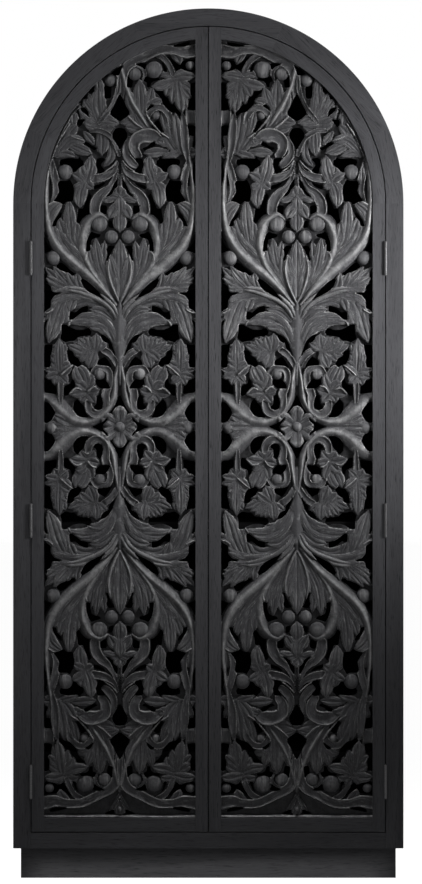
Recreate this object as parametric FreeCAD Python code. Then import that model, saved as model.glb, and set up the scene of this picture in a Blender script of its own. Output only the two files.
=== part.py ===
"""Tall arched cabinet with two pierced and carved doors, in black timber.

The cabinet stands on a set-back plinth. A face frame with a half-round head closes the
front of a board carcass, and two framed doors with pierced panels hang inside it on butt
hinges. Lengths are millimetres. X runs across the front to the right, Y runs from the
front to the back, Z is up, and the origin is under the middle of the cabinet on the floor.
"""

import FreeCAD
import Part
import math
import os

Vector = FreeCAD.Vector

# Overall size
OVERALL_WIDTH = 986.0
OVERALL_HEIGHT = 2200.0
BODY_DEPTH = 400.0

# Plinth
PLINTH_HEIGHT = 78.0
PLINTH_SIDE_SETBACK = 18.0
PLINTH_FRONT_SETBACK = 30.0
PLINTH_BACK_SETBACK = 12.0
PLINTH_BOARD = 20.0
CORNER_BLOCK = 36.0

# Face frame
FRAME_FACE = 44.0
FRAME_THICKNESS = 25.0
FRAME_BOTTOM_FACE = 39.5
FRAME_TENON = 12.0
FRAME_TENON_THICKNESS = 9.0
TENON_SHOULDER = 8.0

# Carcass boards
WALL_BOARD = 18.0
BACK_PANEL = 9.0
BOTTOM_BOARD = 20.0
SHELF_BOARD = 19.0
SHELF_FRONT_SETBACK = 6.0
SHELF_END_CLEARANCE = 0.3
CLEAT_WIDTH = 18.0
CLEAT_HEIGHT = 22.0
CLEAT_END_SETBACK = 24.0
WALL_RAIL_HEIGHT = 70.0
WALL_RAIL_THICKNESS = 18.0
WALL_HOLE_RADIUS = 3.0
WALL_HOLE_SPACING = 400.0
# Shelf tops, as shares of the height from the bottom board to the spring of the arch.
SHELF_HEIGHT_SHARES = {"lower": 0.1375, "middle": 0.5, "upper": 0.877}

# Doors
DOOR_GAP = 2.5
MEETING_GAP = 2.5
DOOR_STILE = 31.0
DOOR_BOTTOM_RAIL = 34.5
DOOR_THICKNESS = 22.0
PANEL_THICKNESS = 17.0
PANEL_TONGUE = 8.0
PANEL_CLEARANCE = 0.2
DOOR_TENON = 18.0
DOOR_TENON_THICKNESS = 7.0

# Arch joints, in degrees round the arch from its spring line
SPRINGER_ANGLE = 22.5
SHOULDER_ANGLE = 67.5
CROWN_ANGLE = 90.0

# Butt hinges
HINGE_LENGTH = 83.0
HINGE_KNUCKLES = 5
KNUCKLE_RADIUS = 3.8
KNUCKLE_GAP = 0.4
KNUCKLE_CLEARANCE = 0.5
PIN_RADIUS = 2.0
PIN_CLEARANCE = 0.05
PIN_PROUD = 2.0
PIN_HEAD_RADIUS = 3.4
PIN_HEAD_HEIGHT = 1.6
LEAF_THICKNESS = 1.5
LEAF_BACK_SETBACK = 3.0
LEAF_CLEARANCE = 0.1
SCREW_RADIUS = 1.6
SCREW_HEAD_RADIUS = 3.1
SCREW_HEAD_HEIGHT = 1.2
SCREW_LENGTH = 18.0
SCREW_CLEARANCE = 0.1
SCREW_SPACING_SHARE = 0.325  # of the hinge length
HINGE_HEIGHT_SHARES = {"upper": 0.913, "middle": 0.4955, "lower": 0.0795}  # up the hinge stile

# Magnetic catches
CATCH_WIDTH = 26.0
CATCH_HEIGHT = 14.0
CATCH_LENGTH = 40.0
STRIKE_THICKNESS = 1.5
STRIKE_WIDTH = 22.0
STRIKE_HEIGHT = 34.0
CATCH_GAP = 0.3

# Pierced panel
PIERCING_CORNER_SHARE = 0.3  # of the shorter side at a corner of a piercing

# The layout's squares, counted from the flower in the middle of the panel. Each of these
# numbers fills the length that it names, so a place in squares is a share of that length.
STILE_SQUARE_SHARES = 100.0  # across, to the sight line of a stile
FOOT_SQUARE_SHARES = 500.0  # down, to the bottom rail
SPRING_SQUARE_SHARES = 285.3  # up, to the spring of the arch
RADIUS_SQUARE_SHARES = 210.2  # in the arch's inner radius, which rules above the spring

CUT_OVERRUN = 1.0

# Outlines of the piercings, in squares across and up from the flower. These repeat in all
# four quarters of a panel.
QUARTER_PIERCING_SHARES = [
    [(3, 318), (8, 311), (12, 302), (19, 294), (14, 295), (9, 299), (8, 303), (3, 307)],
    [(18, 344), (30, 344), (32, 335), (30, 330), (28, 323), (18, 327), (26, 335)],
    [(18, 314), (25, 311), (34, 309), (35, 304), (27, 306), (22, 309)],
    [(29, 357), (36, 359), (41, 364), (46, 365), (48, 361), (41, 358), (33, 354)],
    [(48, 341), (51, 342), (53, 346), (56, 343), (70, 344), (79, 342), (80, 338), (77, 333),
     (70, 332), (62, 326), (58, 326), (54, 331), (48, 334)],
    [(66, 317), (70, 315), (80, 315), (82, 311), (80, 301), (84, 294), (88, 289), (80, 287),
     (74, 284), (71, 288), (62, 288), (60, 300), (61, 308)],
    [(37, 295), (41, 300), (43, 294), (46, 287), (49, 279), (55, 280), (56, 270), (58, 263),
     (54, 259), (50, 266), (44, 271), (40, 272), (41, 282), (40, 289)],
    [(17, 283), (26, 284), (26, 275), (18, 271)],
    [(10, 263), (14, 264), (15, 256), (8, 254)],
    [(25, 246), (33, 248), (38, 250), (41, 245), (44, 237), (45, 224), (39, 225), (39, 233),
     (37, 240), (27, 243)],
    [(6, 231), (15, 232), (18, 227), (16, 222), (18, 213), (16, 212), (13, 220), (10, 227)],
    [(76, 275), (82, 271), (87, 264), (90, 256), (84, 257), (83, 263), (78, 268)],
    [(100, 244), (97, 236), (90, 226), (95, 224), (100, 221)],
    [(59, 196), (66, 201), (73, 208), (79, 211), (85, 205), (78, 200), (72, 198), (67, 197),
     (63, 193)],
    [(19, 161), (26, 170), (33, 178), (42, 186), (50, 190), (52, 187), (48, 179), (42, 173),
     (32, 168), (25, 165)],
    [(98, 196), (100, 195), (100, 146), (97, 149), (91, 152), (91, 162), (86, 168), (77, 171),
     (80, 172), (90, 172), (91, 180), (98, 184), (99, 188), (96, 193)],
    [(42, 155), (48, 154), (54, 151), (59, 146), (66, 148), (67, 137), (62, 137), (57, 141),
     (50, 146), (42, 147)],
    [(41, 127), (48, 124), (57, 124), (65, 127), (71, 131), (77, 131), (77, 120), (79, 113),
     (72, 108), (66, 110), (60, 110), (55, 115), (48, 116), (39, 117), (37, 122)],
    [(26, 119), (24, 112), (19, 108), (15, 107), (15, 102), (11, 97), (5, 89), (8, 97),
     (10, 105), (14, 112), (20, 117)],
    [(95, 137), (99, 135), (100, 128), (100, 114), (98, 118), (98, 128)],
    [(88, 107), (92, 105), (100, 105), (100, 76), (92, 76), (91, 82), (92, 90), (90, 95),
     (89, 100)],
    [(10, 75), (17, 78), (30, 79), (29, 85), (23, 88), (20, 90), (15, 85)],
    [(50, 80), (55, 76), (60, 79), (65, 80), (69, 88), (70, 98), (62, 97), (61, 91), (55, 88)],
    [(12, 49), (25, 49), (31, 53), (33, 60), (20, 61), (15, 55)],
    [(59, 51), (60, 59), (63, 62), (65, 55), (74, 52), (74, 40), (69, 40), (65, 46)],
    [(100, 64), (95, 60), (91, 60), (89, 54), (84, 52), (83, 42), (90, 43), (100, 44)],
    [(27, 42), (30, 38), (31, 29), (35, 26), (34, 23), (29, 21), (23, 23), (22, 30), (24, 38)],
    [(56, 36), (61, 31), (62, 22), (57, 15), (51, 12), (41, 12), (45, 18), (47, 26), (51, 30)],
    [(100, 32), (94, 31), (88, 24), (85, 18), (89, 10), (93, 5), (100, 5)],
]

# These end the pattern at both foot corners and beside the meeting stile at the head.
END_PIERCING_SHARES = [
    [(67, 487), (80, 491), (93, 493), (91, 489), (82, 486)],
    [(61, 475), (68, 471), (76, 465), (80, 463), (83, 469), (97, 470), (100, 472), (100, 454),
     (88, 455), (80, 459), (75, 455), (72, 459), (67, 467)],
    [(55, 468), (58, 465), (60, 460), (63, 454), (58, 454), (58, 460)],
    [(19, 464), (28, 466), (36, 465), (34, 456), (28, 461)],
    [(10, 450), (17, 445), (16, 434), (9, 434)],
    [(34, 449), (40, 447), (52, 447), (53, 444), (45, 443), (41, 440), (40, 435), (36, 434),
     (36, 441), (31, 443)],
    [(45, 430), (57, 430), (58, 425), (64, 420), (66, 413), (72, 413), (75, 408), (81, 402),
     (80, 397), (73, 402), (66, 403), (60, 409), (57, 413), (55, 420), (50, 426)],
    [(35, 403), (37, 409), (41, 413), (46, 411), (40, 407)],
    [(100, 441), (100, 405), (96, 405), (89, 406), (90, 412), (92, 418), (95, 422), (93, 428),
     (94, 440)],
    [(44, 390), (51, 393), (53, 388), (57, 379), (55, 376), (50, 382)],
    [(98, 339), (100, 335), (100, 305), (97, 315), (96, 328)],
    [(89, 386), (100, 386), (100, 360), (95, 357), (98, 368), (98, 372), (92, 373), (91, 378)],
]

# These take their place on the hinge side of the head, where the arch cuts the pattern.
ARCH_PIERCING_SHARES = [
    [(13, 452), (1, 449), (-2, 457), (-4, 463), (0, 461), (5, 458)],
    [(21, 437), (11, 436), (12, 420), (20, 420)],
    [(34, 438), (42, 429), (34, 427)],
    [(46, 424), (50, 420), (43, 420)],
    [(52, 409), (45, 408), (41, 402), (41, 396), (45, 400), (51, 404)],
    [(56, 393), (45, 394), (50, 387), (55, 383), (57, 388)],
]

# This lies on either side of the bud at the foot of the centre line.
FOOT_PIERCING_SHARES = [(7, 489), (8, 496), (21, 496), (14, 492)]

# Half outlines of the piercings on the panel's centre line, closed by their mirror image.
CENTRE_PIERCING_SHARES = [
    [(0, 427), (4, 420), (8, 411), (13, 403), (11, 398), (6, 394), (0, 391)],
    [(0, 354), (4, 361), (10, 370), (10, 376), (6, 382), (0, 383)],
    [(0, 42), (4, 33), (8, 25), (14, 17), (10, 19), (4, 26), (0, 27)],
]

# Half outline of the piercing beside the flower, closed by its mirror image below.
FLOWER_PIERCING_SHARES = [(38, 0), (29, 3), (22, 7), (16, 12), (17, 8), (22, 3), (23, 0)]

HALF_WIDTH = OVERALL_WIDTH / 2
SPRING_Z = OVERALL_HEIGHT - HALF_WIDTH
KNUCKLE_PROUD = PIN_PROUD + KNUCKLE_RADIUS
FRONT_Y = KNUCKLE_PROUD - (BODY_DEPTH + KNUCKLE_PROUD) / 2
BACK_Y = FRONT_Y + BODY_DEPTH
FRAME_BACK_Y = FRONT_Y + FRAME_THICKNESS
OPENING_RADIUS = HALF_WIDTH - FRAME_FACE
OPENING_FOOT_Z = PLINTH_HEIGHT + FRAME_BOTTOM_FACE
INSIDE_HALF = HALF_WIDTH - WALL_BOARD
BACK_PANEL_Y = BACK_Y - BACK_PANEL
SHELF_FRONT_Y = FRAME_BACK_Y + SHELF_FRONT_SETBACK

DOOR_RADIUS = OPENING_RADIUS - DOOR_GAP
DOOR_FOOT_Z = OPENING_FOOT_Z + DOOR_GAP
DOOR_BACK_Y = FRONT_Y + DOOR_THICKNESS
DOOR_INNER_RADIUS = DOOR_RADIUS - DOOR_STILE
MEETING_X = -MEETING_GAP / 2
MEETING_INNER_X = MEETING_X - DOOR_STILE
PANEL_FOOT_Z = DOOR_FOOT_Z + DOOR_BOTTOM_RAIL
PANEL_FRONT_Y = DOOR_BACK_Y - PANEL_THICKNESS
PANEL_HALF_WIDTH = (DOOR_INNER_RADIUS + MEETING_INNER_X) / 2
PANEL_CENTRE_X = MEETING_INNER_X - PANEL_HALF_WIDTH
SQUARE_HEIGHT = (SPRING_Z - PANEL_FOOT_Z) / (FOOT_SQUARE_SHARES + SPRING_SQUARE_SHARES)
ARCH_SQUARE_HEIGHT = DOOR_INNER_RADIUS / RADIUS_SQUARE_SHARES

PIN_X = -(OPENING_RADIUS - DOOR_GAP / 2)
PIN_Y = FRONT_Y - PIN_PROUD
LEAF_WIDTH = DOOR_THICKNESS - LEAF_BACK_SETBACK
SCREW_SPACING = HINGE_LENGTH * SCREW_SPACING_SHARE


def point(x, y, z):
    return Vector(x, y, z)


def board(x_low, x_high, y_low, y_high, z_low, z_high):
    """A straight board between two corners."""
    corner = point(x_low, y_low, z_low)
    return Part.makeBox(x_high - x_low, y_high - y_low, z_high - z_low, corner)


def on_arch(radius, angle, y):
    """A point on the arch, the angle counted in degrees from the right-hand spring."""
    turn = math.radians(angle)
    return point(radius * math.cos(turn), y, SPRING_Z + radius * math.sin(turn))


def arch_edge(radius, start, end, y):
    """The arc of the arch between two angles."""
    middle = on_arch(radius, (start + end) / 2, y)
    return Part.Arc(on_arch(radius, start, y), middle, on_arch(radius, end, y)).toShape()


def line(start, end):
    return Part.LineSegment(start, end).toShape()


def thicken(edges, depth):
    """A solid from the closed outline of its front face."""
    face = Part.Face(Part.Wire(Part.__sortEdges__(edges)))
    return face.extrude(point(0, depth, 0))


def arch_piece(inner, outer, start, end, y_low, y_high):
    """A segment of a ring round the arch."""
    edges = [
        arch_edge(inner, start, end, y_low),
        arch_edge(outer, start, end, y_low),
        line(on_arch(inner, start, y_low), on_arch(outer, start, y_low)),
        line(on_arch(inner, end, y_low), on_arch(outer, end, y_low)),
    ]
    return thicken(edges, y_high - y_low)


def arched_board(radius, z_low, y_low, y_high):
    """A board with straight sides and a half-round head."""
    left_foot, right_foot = point(-radius, y_low, z_low), point(radius, y_low, z_low)
    edges = [
        line(left_foot, right_foot),
        line(right_foot, on_arch(radius, 0, y_low)),
        arch_edge(radius, 0, 180, y_low),
        line(on_arch(radius, 180, y_low), left_foot),
    ]
    return thicken(edges, y_high - y_low)


def door_blank(radius, meeting_x, z_low, y_low, y_high):
    """A board with the outline of the left door: half of the arched shape."""
    head_angle = math.degrees(math.acos(meeting_x / radius))
    left_foot, right_foot = point(-radius, y_low, z_low), point(meeting_x, y_low, z_low)
    edges = [
        line(left_foot, right_foot),
        line(right_foot, on_arch(radius, head_angle, y_low)),
        arch_edge(radius, head_angle, 180, y_low),
        line(on_arch(radius, 180, y_low), left_foot),
    ]
    return thicken(edges, y_high - y_low)


def cylinder_up(x, y, z, radius, height):
    return Part.makeCylinder(radius, height, point(x, y, z))


def mirrored(shape):
    """The same piece on the other side of the cabinet's middle plane."""
    return shape.mirror(point(0, 0, 0), point(1, 0, 0))


def fused(shapes):
    whole = shapes[0]
    for shape in shapes[1:]:
        whole = whole.fuse(shape)
    return whole.removeSplitter()


def rounded_wire(corners):
    """A closed outline through the corners, each corner eased by a tangent arc."""
    edges = []
    joins = []
    count = len(corners)
    for index, corner in enumerate(corners):
        before = corners[index - 1] - corner
        after = corners[(index + 1) % count] - corner
        setback = PIERCING_CORNER_SHARE * min(before.Length, after.Length)
        start = corner + before * (setback / before.Length)
        end = corner + after * (setback / after.Length)
        bisector = (start + end) * 0.5 - corner
        half_chord = (end - start).Length / 2
        # The arc's middle lies on the bisector, where a circle touches both sides.
        reach = bisector.Length
        rise = half_chord * (setback - half_chord) / reach if reach > 0 else 0
        middle = corner + bisector * ((reach - rise) / reach)
        edges.append(Part.Arc(start, middle, end).toShape())
        joins.append((start, end))
    for index in range(count):
        edges.append(line(joins[index - 1][1], joins[index][0]))
    return Part.Wire(Part.__sortEdges__(edges))


def on_panel(across, up, y):
    """A point of the left panel from its place in squares from the flower."""
    x = PANEL_CENTRE_X + across / STILE_SQUARE_SHARES * PANEL_HALF_WIDTH
    above_spring = up - SPRING_SQUARE_SHARES
    square_height = ARCH_SQUARE_HEIGHT if above_spring > 0 else SQUARE_HEIGHT
    return point(x, y, SPRING_Z + above_spring * square_height)


def piercing_outlines():
    """Every piercing of the left panel, as lists of squares across and up."""
    outlines = []
    for shares in QUARTER_PIERCING_SHARES:
        for across_sign in (-1, 1):
            for up_sign in (-1, 1):
                outlines.append([(a * across_sign, u * up_sign) for a, u in shares])
    for shares in END_PIERCING_SHARES:
        outlines.append(shares)
        outlines.append([(a, -u) for a, u in shares])
        outlines.append([(-a, -u) for a, u in shares])
    for shares in ARCH_PIERCING_SHARES:
        outlines.append([(-a, u) for a, u in shares])
    for across_sign in (-1, 1):
        outlines.append([(a * across_sign, -u) for a, u in FOOT_PIERCING_SHARES])
    for shares in CENTRE_PIERCING_SHARES:
        other_half = [(-a, u) for a, u in reversed(shares) if a > 0]
        for up_sign in (-1, 1):
            outlines.append([(a, u * up_sign) for a, u in shares + other_half])
    other_half = [(a, -u) for a, u in reversed(FLOWER_PIERCING_SHARES) if u > 0]
    for across_sign in (-1, 1):
        outlines.append([(a * across_sign, u) for a, u in FLOWER_PIERCING_SHARES + other_half])
    return outlines


def carved_panel():
    """The pierced board of the left door, with its tongue in the frame's rebate."""
    radius = DOOR_INNER_RADIUS + PANEL_TONGUE
    blank = door_blank(
        radius,
        MEETING_INNER_X + PANEL_TONGUE,
        PANEL_FOOT_Z - PANEL_TONGUE,
        PANEL_FRONT_Y,
        DOOR_BACK_Y,
    )
    front = min(blank.Faces, key=lambda face: face.CenterOfMass.y)
    wires = [front.OuterWire]
    for outline in piercing_outlines():
        wires.append(rounded_wire([on_panel(a, u, PANEL_FRONT_Y) for a, u in outline]))
    face = Part.makeFace(Part.makeCompound(wires), "Part::FaceMakerBullseye")
    return face.extrude(point(0, PANEL_THICKNESS, 0))


def hinge_heights():
    stile = SPRING_Z - DOOR_FOOT_Z
    return {name: DOOR_FOOT_Z + stile * share for name, share in HINGE_HEIGHT_SHARES.items()}


def shelf_tops():
    inside_foot = PLINTH_HEIGHT + BOTTOM_BOARD
    inside = SPRING_Z - inside_foot
    return {name: inside_foot + inside * share for name, share in SHELF_HEIGHT_SHARES.items()}


def catch_top():
    """The catches hang from the underside of the middle shelf."""
    return shelf_tops()["middle"] - SHELF_BOARD


def knuckle_spans(z_middle, first):
    """The heights of every second knuckle, from the given one up."""
    pitch = HINGE_LENGTH / HINGE_KNUCKLES
    foot = z_middle - HINGE_LENGTH / 2
    spans = []
    for index in range(first, HINGE_KNUCKLES, 2):
        low = foot + index * pitch + KNUCKLE_GAP / 2
        spans.append((low, low + pitch - KNUCKLE_GAP))
    return spans


def screw_heights(z_middle):
    return [z_middle + step * SCREW_SPACING for step in (-1, 0, 1)]


def leaf_screw(x_face, direction, z, clearance):
    """A countersunk screw through a leaf, or with a clearance the hole that it needs."""
    y = FRONT_Y + LEAF_WIDTH / 2 + KNUCKLE_RADIUS / 2
    along = point(direction, 0, 0)
    head_low = SCREW_RADIUS + clearance
    head_high = SCREW_HEAD_RADIUS + clearance
    head = Part.makeCone(head_high, head_low, SCREW_HEAD_HEIGHT, point(x_face, y, z), along)
    shank = Part.makeCylinder(head_low, SCREW_LENGTH + clearance, point(x_face, y, z), along)
    return head.fuse(shank).removeSplitter()


def hinge_leaf(z_middle, first_knuckle, x_face, direction):
    """A leaf let into a stile's edge, with its rolled knuckles and screw holes.

    The plate lies behind x_face, away from the gap, and direction points into the stile.
    """
    x_low, x_high = sorted((x_face, x_face + direction * LEAF_THICKNESS))
    plate_y = PIN_Y + KNUCKLE_RADIUS + KNUCKLE_CLEARANCE
    z_low = z_middle - HINGE_LENGTH / 2
    back_y = FRONT_Y + LEAF_WIDTH
    plate = board(x_low, x_high, plate_y, back_y, z_low, z_low + HINGE_LENGTH)
    pieces = [plate]
    for low, high in knuckle_spans(z_middle, first_knuckle):
        pieces.append(board(x_low, x_high, PIN_Y, plate_y, low, high))
        pieces.append(cylinder_up(PIN_X, PIN_Y, low, KNUCKLE_RADIUS, high - low))
    leaf = fused(pieces)
    bore = cylinder_up(
        PIN_X, PIN_Y, z_low - CUT_OVERRUN, PIN_RADIUS + PIN_CLEARANCE, HINGE_LENGTH + 2 * CUT_OVERRUN
    )
    leaf = leaf.cut(bore)
    for z in screw_heights(z_middle):
        leaf = leaf.cut(leaf_screw(x_face, direction, z, SCREW_CLEARANCE))
    return leaf


def hinge_pin(z_middle):
    """The pin with its two button heads, just clear of the end knuckles."""
    low = z_middle - HINGE_LENGTH / 2
    shaft = cylinder_up(PIN_X, PIN_Y, low, PIN_RADIUS, HINGE_LENGTH)
    foot = cylinder_up(PIN_X, PIN_Y, low - PIN_HEAD_HEIGHT, PIN_HEAD_RADIUS, PIN_HEAD_HEIGHT)
    head = cylinder_up(PIN_X, PIN_Y, low + HINGE_LENGTH, PIN_HEAD_RADIUS, PIN_HEAD_HEIGHT)
    return fused([shaft, foot, head])


def hinge_recess(z_middle, x_face, direction):
    """What a stile loses to a hinge: the leaf's bed, the knuckle's hollow and screw holes."""
    depth = LEAF_THICKNESS + LEAF_CLEARANCE
    x_low, x_high = sorted((x_face - direction * CUT_OVERRUN, x_face + direction * depth))
    z_low = z_middle - HINGE_LENGTH / 2 - LEAF_CLEARANCE
    length = HINGE_LENGTH + 2 * LEAF_CLEARANCE
    back_y = FRONT_Y + LEAF_WIDTH + LEAF_CLEARANCE
    bed = board(x_low, x_high, FRONT_Y - CUT_OVERRUN, back_y, z_low, z_low + length)
    head_room = PIN_HEAD_HEIGHT + KNUCKLE_CLEARANCE
    hollow = cylinder_up(
        PIN_X, PIN_Y, z_low - head_room, KNUCKLE_RADIUS + KNUCKLE_CLEARANCE, length + 2 * head_room
    )
    cutters = [bed, hollow]
    for z in screw_heights(z_middle):
        cutters.append(leaf_screw(x_face, direction, z, SCREW_CLEARANCE))
    return cutters


def without_hinges(stile, x_face, direction):
    """A stile with the beds of all its hinges cut."""
    for z_middle in hinge_heights().values():
        for cutter in hinge_recess(z_middle, x_face, direction):
            stile = stile.cut(cutter)
    return stile


def left_door_pieces():
    """The frame members, panel and strike plate of the left door, by name."""
    rebate = door_blank(
        DOOR_INNER_RADIUS + PANEL_TONGUE + PANEL_CLEARANCE,
        MEETING_INNER_X + PANEL_TONGUE + PANEL_CLEARANCE,
        PANEL_FOOT_Z - PANEL_TONGUE - PANEL_CLEARANCE,
        PANEL_FRONT_Y - PANEL_CLEARANCE,
        DOOR_BACK_Y + CUT_OVERRUN,
    )
    outline = door_blank(DOOR_RADIUS, MEETING_X, DOOR_FOOT_Z, FRONT_Y, DOOR_BACK_Y)
    inner_edge = -DOOR_INNER_RADIUS
    hinge_stile = board(-DOOR_RADIUS, inner_edge, FRONT_Y, DOOR_BACK_Y, DOOR_FOOT_Z, SPRING_Z)
    column = board(MEETING_INNER_X, 0, FRONT_Y, DOOR_BACK_Y, DOOR_FOOT_Z, OVERALL_HEIGHT)
    meeting_stile = column.common(outline)
    tenon_y = FRONT_Y + TENON_SHOULDER - DOOR_TENON_THICKNESS / 2
    tenon_low = DOOR_FOOT_Z + TENON_SHOULDER
    tenon_high = PANEL_FOOT_Z - PANEL_TONGUE - TENON_SHOULDER / 2
    tenon = board(
        inner_edge - DOOR_TENON,
        MEETING_INNER_X + DOOR_TENON,
        tenon_y,
        tenon_y + DOOR_TENON_THICKNESS,
        tenon_low,
        tenon_high,
    )
    rail = board(inner_edge, MEETING_INNER_X, FRONT_Y, DOOR_BACK_Y, DOOR_FOOT_Z, PANEL_FOOT_Z)
    rail = rail.cut(rebate).fuse(tenon).removeSplitter()
    ring = (DOOR_INNER_RADIUS, DOOR_RADIUS)
    springer = arch_piece(*ring, 180 - SPRINGER_ANGLE, 180, FRONT_Y, DOOR_BACK_Y)
    shoulder = arch_piece(*ring, 180 - SHOULDER_ANGLE, 180 - SPRINGER_ANGLE, FRONT_Y, DOOR_BACK_Y)
    crown = arch_piece(*ring, 180 - CROWN_ANGLE, 180 - SHOULDER_ANGLE, FRONT_Y, DOOR_BACK_Y)
    crown = crown.cut(column)
    strike_z = catch_top() - CATCH_HEIGHT / 2
    strike_x = (MEETING_INNER_X + PANEL_TONGUE + MEETING_X) / 2
    strike = board(
        strike_x - STRIKE_WIDTH / 2,
        strike_x + STRIKE_WIDTH / 2,
        DOOR_BACK_Y,
        DOOR_BACK_Y + STRIKE_THICKNESS,
        strike_z - STRIKE_HEIGHT / 2,
        strike_z + STRIKE_HEIGHT / 2,
    )
    return {
        "hinge_stile": without_hinges(hinge_stile.cut(rebate).cut(tenon), -DOOR_RADIUS, 1),
        "meeting_stile": meeting_stile.cut(rebate).cut(tenon),
        "bottom_rail": rail,
        "springer": springer.cut(rebate),
        "shoulder": shoulder.cut(rebate),
        "crown": crown.cut(rebate),
        "carved_panel": carved_panel(),
        "strike_plate": strike,
    }


def face_frame_pieces():
    """The face frame: two stiles, a bottom rail and the five segments of its head."""
    foot = PLINTH_HEIGHT
    stile = board(-HALF_WIDTH, -OPENING_RADIUS, FRONT_Y, FRAME_BACK_Y, foot, SPRING_Z)
    tenon_y = (FRONT_Y + FRAME_BACK_Y - FRAME_TENON_THICKNESS) / 2
    tenon = board(
        -OPENING_RADIUS - FRAME_TENON,
        OPENING_RADIUS + FRAME_TENON,
        tenon_y,
        tenon_y + FRAME_TENON_THICKNESS,
        foot + TENON_SHOULDER,
        OPENING_FOOT_Z - TENON_SHOULDER,
    )
    rail = board(-OPENING_RADIUS, OPENING_RADIUS, FRONT_Y, FRAME_BACK_Y, foot, OPENING_FOOT_Z)
    left_stile = without_hinges(stile.cut(tenon), -OPENING_RADIUS, -1)
    ring = (OPENING_RADIUS, HALF_WIDTH)
    springer = arch_piece(*ring, 180 - SPRINGER_ANGLE, 180, FRONT_Y, FRAME_BACK_Y)
    shoulder = arch_piece(*ring, 180 - SHOULDER_ANGLE, 180 - SPRINGER_ANGLE, FRONT_Y, FRAME_BACK_Y)
    crown = arch_piece(*ring, SHOULDER_ANGLE, 180 - SHOULDER_ANGLE, FRONT_Y, FRAME_BACK_Y)
    return {
        "frame_stile_left": left_stile,
        "frame_stile_right": mirrored(left_stile),
        "frame_springer_left": springer,
        "frame_springer_right": mirrored(springer),
        "frame_shoulder_left": shoulder,
        "frame_shoulder_right": mirrored(shoulder),
        "frame_crown": crown,
        "frame_bottom_rail": rail.fuse(tenon).removeSplitter(),
    }


def wall_screw_hole(side):
    """A hole through the back panel and the rail in front of it."""
    low_y = BACK_PANEL_Y - WALL_RAIL_THICKNESS - CUT_OVERRUN
    start = point(side * WALL_HOLE_SPACING / 2, low_y, SPRING_Z - WALL_RAIL_HEIGHT / 2)
    return Part.makeCylinder(WALL_HOLE_RADIUS, BACK_Y + CUT_OVERRUN - low_y, start, point(0, 1, 0))


def carcass_pieces():
    """Sides, bent head, back, bottom and the rail that the wall screws go through."""
    foot = PLINTH_HEIGHT
    side = board(-HALF_WIDTH, -INSIDE_HALF, FRAME_BACK_Y, BACK_Y, foot, SPRING_Z)
    shell = arch_piece(INSIDE_HALF, HALF_WIDTH, 90, 180, FRAME_BACK_Y, BACK_Y)
    back = arched_board(INSIDE_HALF, foot, BACK_PANEL_Y, BACK_Y)
    rail_y = BACK_PANEL_Y - WALL_RAIL_THICKNESS
    rail_foot = SPRING_Z - WALL_RAIL_HEIGHT
    rail = board(-INSIDE_HALF, INSIDE_HALF, rail_y, BACK_PANEL_Y, rail_foot, SPRING_Z)
    for hole_side in (-1, 1):
        back = back.cut(wall_screw_hole(hole_side))
        rail = rail.cut(wall_screw_hole(hole_side))
    bottom = board(
        -INSIDE_HALF, INSIDE_HALF, FRAME_BACK_Y, BACK_PANEL_Y, foot, foot + BOTTOM_BOARD
    )
    return {
        "side_board_left": side,
        "side_board_right": mirrored(side),
        "arch_shell_left": shell,
        "arch_shell_right": mirrored(shell),
        "back_panel": back,
        "wall_rail": rail,
        "bottom_board": bottom,
    }


def shelf_pieces():
    """Three fixed shelves, and the cleats on the side boards that carry them."""
    pieces = {}
    cleats = []
    end = INSIDE_HALF - SHELF_END_CLEARANCE
    cleat_front = SHELF_FRONT_Y + CLEAT_END_SETBACK
    cleat_back = BACK_PANEL_Y - CLEAT_END_SETBACK
    for name, top in shelf_tops().items():
        foot = top - SHELF_BOARD
        pieces["shelf_" + name] = board(-end, end, SHELF_FRONT_Y, BACK_PANEL_Y, foot, top)
        cleat = board(
            -INSIDE_HALF, -INSIDE_HALF + CLEAT_WIDTH, cleat_front, cleat_back, foot - CLEAT_HEIGHT, foot
        )
        cleats += [cleat, mirrored(cleat)]
    pieces["shelf_cleats"] = Part.makeCompound(cleats)
    return pieces


def catch_housings():
    """Two magnetic catches under the middle shelf, one behind each meeting stile."""
    top = catch_top()
    front = DOOR_BACK_Y + STRIKE_THICKNESS + CATCH_GAP
    middle = (MEETING_INNER_X + PANEL_TONGUE + MEETING_X) / 2
    left = board(
        middle - CATCH_WIDTH / 2,
        middle + CATCH_WIDTH / 2,
        front,
        front + CATCH_LENGTH,
        top - CATCH_HEIGHT,
        top,
    )
    return Part.makeCompound([left, mirrored(left)])


def plinth_pieces():
    """The set-back base: four boards and a block glued into each corner."""
    half = HALF_WIDTH - PLINTH_SIDE_SETBACK
    front = FRONT_Y + PLINTH_FRONT_SETBACK
    back = BACK_Y - PLINTH_BACK_SETBACK
    inner_front, inner_back = front + PLINTH_BOARD, back - PLINTH_BOARD
    side = board(-half, -half + PLINTH_BOARD, inner_front, inner_back, 0, PLINTH_HEIGHT)
    inner = half - PLINTH_BOARD
    blocks = []
    for y in (inner_front, inner_back - CORNER_BLOCK):
        block = board(-inner, -inner + CORNER_BLOCK, y, y + CORNER_BLOCK, 0, PLINTH_HEIGHT)
        blocks += [block, mirrored(block)]
    return {
        "plinth_front": board(-half, half, front, inner_front, 0, PLINTH_HEIGHT),
        "plinth_back": board(-half, half, inner_back, back, 0, PLINTH_HEIGHT),
        "plinth_left": side,
        "plinth_right": mirrored(side),
        "plinth_corner_blocks": Part.makeCompound(blocks),
    }


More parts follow.
